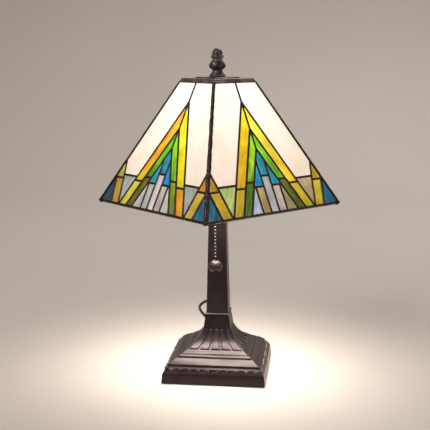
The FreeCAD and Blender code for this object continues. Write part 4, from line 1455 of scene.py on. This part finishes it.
class LAMP_OT_glass(bpy.types.Operator):
    """Cuts the 104 panes of the shade and colours each from its own sheet."""

    bl_idname = "lamp.glass"
    bl_label = "Glass"

    def execute(self, context):
        glass = context.scene.lamp_glass
        half_width = context.scene.lamp_lead.half_width
        sheets = {
            "white": sheet_glass("opal_white_sheet", 0.014, 0.4, 0.06, glass.white_glow, 0.35),
            "amber": sheet_glass("opal_amber_sheet", 0.0028, 0.85, 0.3, glass.colour_glow, 0.7),
            "green": sheet_glass("opal_green_sheet", 0.0028, 0.85, 0.4, glass.colour_glow, 0.7),
            "blue": sheet_glass("opal_blue_sheet", 0.0032, 0.7, 0.42, glass.colour_glow, 0.6),
            "streaky": sheet_glass("opal_streaky_sheet", 0.003, 0.9, 0.26, glass.colour_glow, 0.7),
        }
        number = 0
        for side, (place, tints) in enumerate(PANELS):
            for kind, shapes in pattern().items():
                panes = []
                for shape, shape_tints in zip(shapes, tints[kind]):
                    number += 1
                    panes.append(pane(shape, shape_tints, number, half_width))
                work = joined(panes)
                bmesh.ops.transform(work, matrix=panel_place(side), verts=work.verts)
                finished(
                    f"{kind}_panes_{place}",
                    scaled(work),
                    sheets[kind],
                    SHADE,
                    [f"{kind}_glass_{place}"],
                )
        return {"FINISHED"}


# ---- cap and finial ---------------------------------------------------------------------
# The turned outline as (radius, height): a flared foot, the bulb, a string of beads and the bud.
FINIAL_BORE = 4.5
FINIAL_FOOT = [
    (FINIAL_BORE, 0.0), (8.0, 0.0), (9.0, 0.5), (9.15, 1.3), (8.4, 2.4), (7.3, 3.7), (6.4, 5.0), (5.8, 6.3),
]
FINIAL_BULB = [
    (5.6, 7.2), (5.9, 8.0), (6.8, 8.7), (7.9, 9.5), (8.8, 10.7), (9.25, 12.2), (9.3, 13.4), (9.0, 14.8),
    (8.4, 16.2), (7.5, 17.5), (6.6, 18.6), (5.9, 19.5),
]
FINIAL_BEADS = [(5.75, 20.2), (6.2, 21.0), (7.0, 21.9), (7.4, 22.9), (7.2, 23.8), (6.5, 24.5)]
FINIAL_BUD = [
    (6.1, 25.2), (6.2, 26.2), (6.1, 27.3), (5.7, 28.5), (5.1, 29.7), (4.3, 30.9), (3.3, 31.9), (2.1, 32.6),
    (1.0, 32.95), (0.0, 33.0),
]
BULB_FROM, BULB_TO, BEADS_TO, SCALES_TO = 7.0, 20.0, 25.0, 31.5


def leafed(radius, height, turn):
    """The finial's radius with its cast relief: petals below, leaves on the bulb, beads, a bud."""
    if height < BULB_FROM:
        # Eight petals that flare over the foot.
        return radius * (1 + 0.06 * smooth_step((BULB_FROM - height) / 5) * math.cos(8 * turn))
    if height < BULB_TO:
        # Two rows of four leaves, the second between the first.
        swell = math.sin(math.pi * (height - BULB_FROM) / (BULB_TO - BULB_FROM))
        upper_row = height > (BULB_FROM + BULB_TO) / 2
        row = math.cos(4 * turn + (math.pi if upper_row else 0))
        vein = math.cos(24 * turn)
        return radius + swell * (0.42 * row + 0.16 * vein)
    if height < BEADS_TO:
        # Twelve beads.
        swell = math.sin(math.pi * (height - BULB_TO) / (BEADS_TO - BULB_TO))
        return radius + 0.3 * math.cos(12 * turn) * swell
    # The bud's scales wind up and run out before its tip.
    fade = smooth_step((SCALES_TO - height) / 4)
    return radius + 0.14 * fade * math.cos(6 * turn + 0.55 * (height - BEADS_TO))


class LAMP_OT_finial(bpy.types.Operator):
    """Adds the shade's cap, the clamp plate and the finial with its relief."""

    bl_idname = "lamp.finial"
    bl_label = "Cap and Finial"

    def execute(self, context):
        # The cap and clamp plate get a much lighter bronze than the base: painted sheen for the light they
        # catch at the top.
        sheet = bronze_lacquer(
            "steel_sheet_bronzed_sheen",
            colour("#685654"),
            colour("#A08E8A"),
            rough=0.34,
            grain=1.2,
        )
        cap = eased(copy_of("shade_cap"), 0.5, segments=3)
        finished("shade_cap_folded", cap, sheet, SHADE, ["shade_cap"])
        plate = eased(copy_of("clamp_plate"), 0.2, angle=30)
        finished("clamp_plate_stamped", plate, sheet, SHADE, ["clamp_plate"])
        foot = foot_of("finial")
        work = spun(FINIAL_FOOT + FINIAL_BULB + FINIAL_BEADS + FINIAL_BUD, 64)
        for vert in work.verts:
            radius = math.hypot(vert.co.x, vert.co.y)
            # The bore's edge under the foot stays round.
            if radius > FINIAL_BORE + 0.1 or vert.co.z > BEADS_TO:
                turn = math.atan2(vert.co.y, vert.co.x)
                share = leafed(radius, vert.co.z, turn) / max(radius, 0.01)
                vert.co.x *= share
                vert.co.y *= share
        bmesh.ops.translate(work, verts=work.verts, vec=(0, 0, foot))
        # The finial's bronze is lighter than the base's: its pale clouds are partly rubbed lacquer, partly
        # painted sheen and highlight specks.
        bronze = bronze_lacquer(
            "finial_cast_bronzed_sheen",
            colour("#352B2F"),
            colour("#8E7E80"),
            rough=0.34,
            grain=1.6,
            relief=0.5,
        )
        finished("finial_leafed", scaled(work), bronze, "finial", ["finial"], sharp=70)
        refinish(worked_metal("brass_insert", "#B08A48", 0.3), "finial_insert")
        return {"FINISHED"}


# ---- panel and registration -------------------------------------------------------------
class LAMP_PT_panel(bpy.types.Panel):
    """Lists the lamp's pieces and their settings."""

    bl_label = "Leaded Glass Lamp"
    bl_idname = "LAMP_PT_panel"
    bl_space_type = "VIEW_3D"
    bl_region_type = "UI"
    bl_category = "Lamp"

    def draw(self, context):
        scene = context.scene
        groups = {
            "Stage": scene.lamp_stage,
            "Mains lead": scene.lamp_cord,
            "Base": scene.lamp_base,
            "Lead lines": scene.lamp_lead,
            "Glass": scene.lamp_glass,
        }
        for title, settings in groups.items():
            box = self.layout.box()
            box.label(text=title)
            for name in settings.__annotations__:
                box.prop(settings, name)
        for operator in OPERATORS:
            self.layout.operator(operator.bl_idname)


OPERATORS = (
    LAMP_OT_stage,
    LAMP_OT_cord,
    LAMP_OT_base,
    LAMP_OT_fittings,
    LAMP_OT_chain,
    LAMP_OT_lead,
    LAMP_OT_glass,
    LAMP_OT_finial,
)
SETTINGS = {
    "lamp_stage": LampStageSettings,
    "lamp_cord": LampCordSettings,
    "lamp_base": LampBaseSettings,
    "lamp_lead": LampLeadSettings,
    "lamp_glass": LampGlassSettings,
}


def register():
    for group in SETTINGS.values():
        bpy.utils.register_class(group)
    for operator in OPERATORS:
        bpy.utils.register_class(operator)
    bpy.utils.register_class(LAMP_PT_panel)
    for name, group in SETTINGS.items():
        setattr(bpy.types.Scene, name, PointerProperty(type=group))


def unregister():
    for name in SETTINGS:
        delattr(bpy.types.Scene, name)
    bpy.utils.unregister_class(LAMP_PT_panel)
    for operator in reversed(OPERATORS):
        bpy.utils.unregister_class(operator)
    for group in SETTINGS.values():
        bpy.utils.unregister_class(group)


def main():
    register()
    bpy.ops.lamp.stage()
    bpy.ops.lamp.cord()
    bpy.ops.lamp.base()
    bpy.ops.lamp.fittings()
    bpy.ops.lamp.chain()
    bpy.ops.lamp.lead()
    bpy.ops.lamp.glass()
    bpy.ops.lamp.finial()


if __name__ == "__main__":
    main()
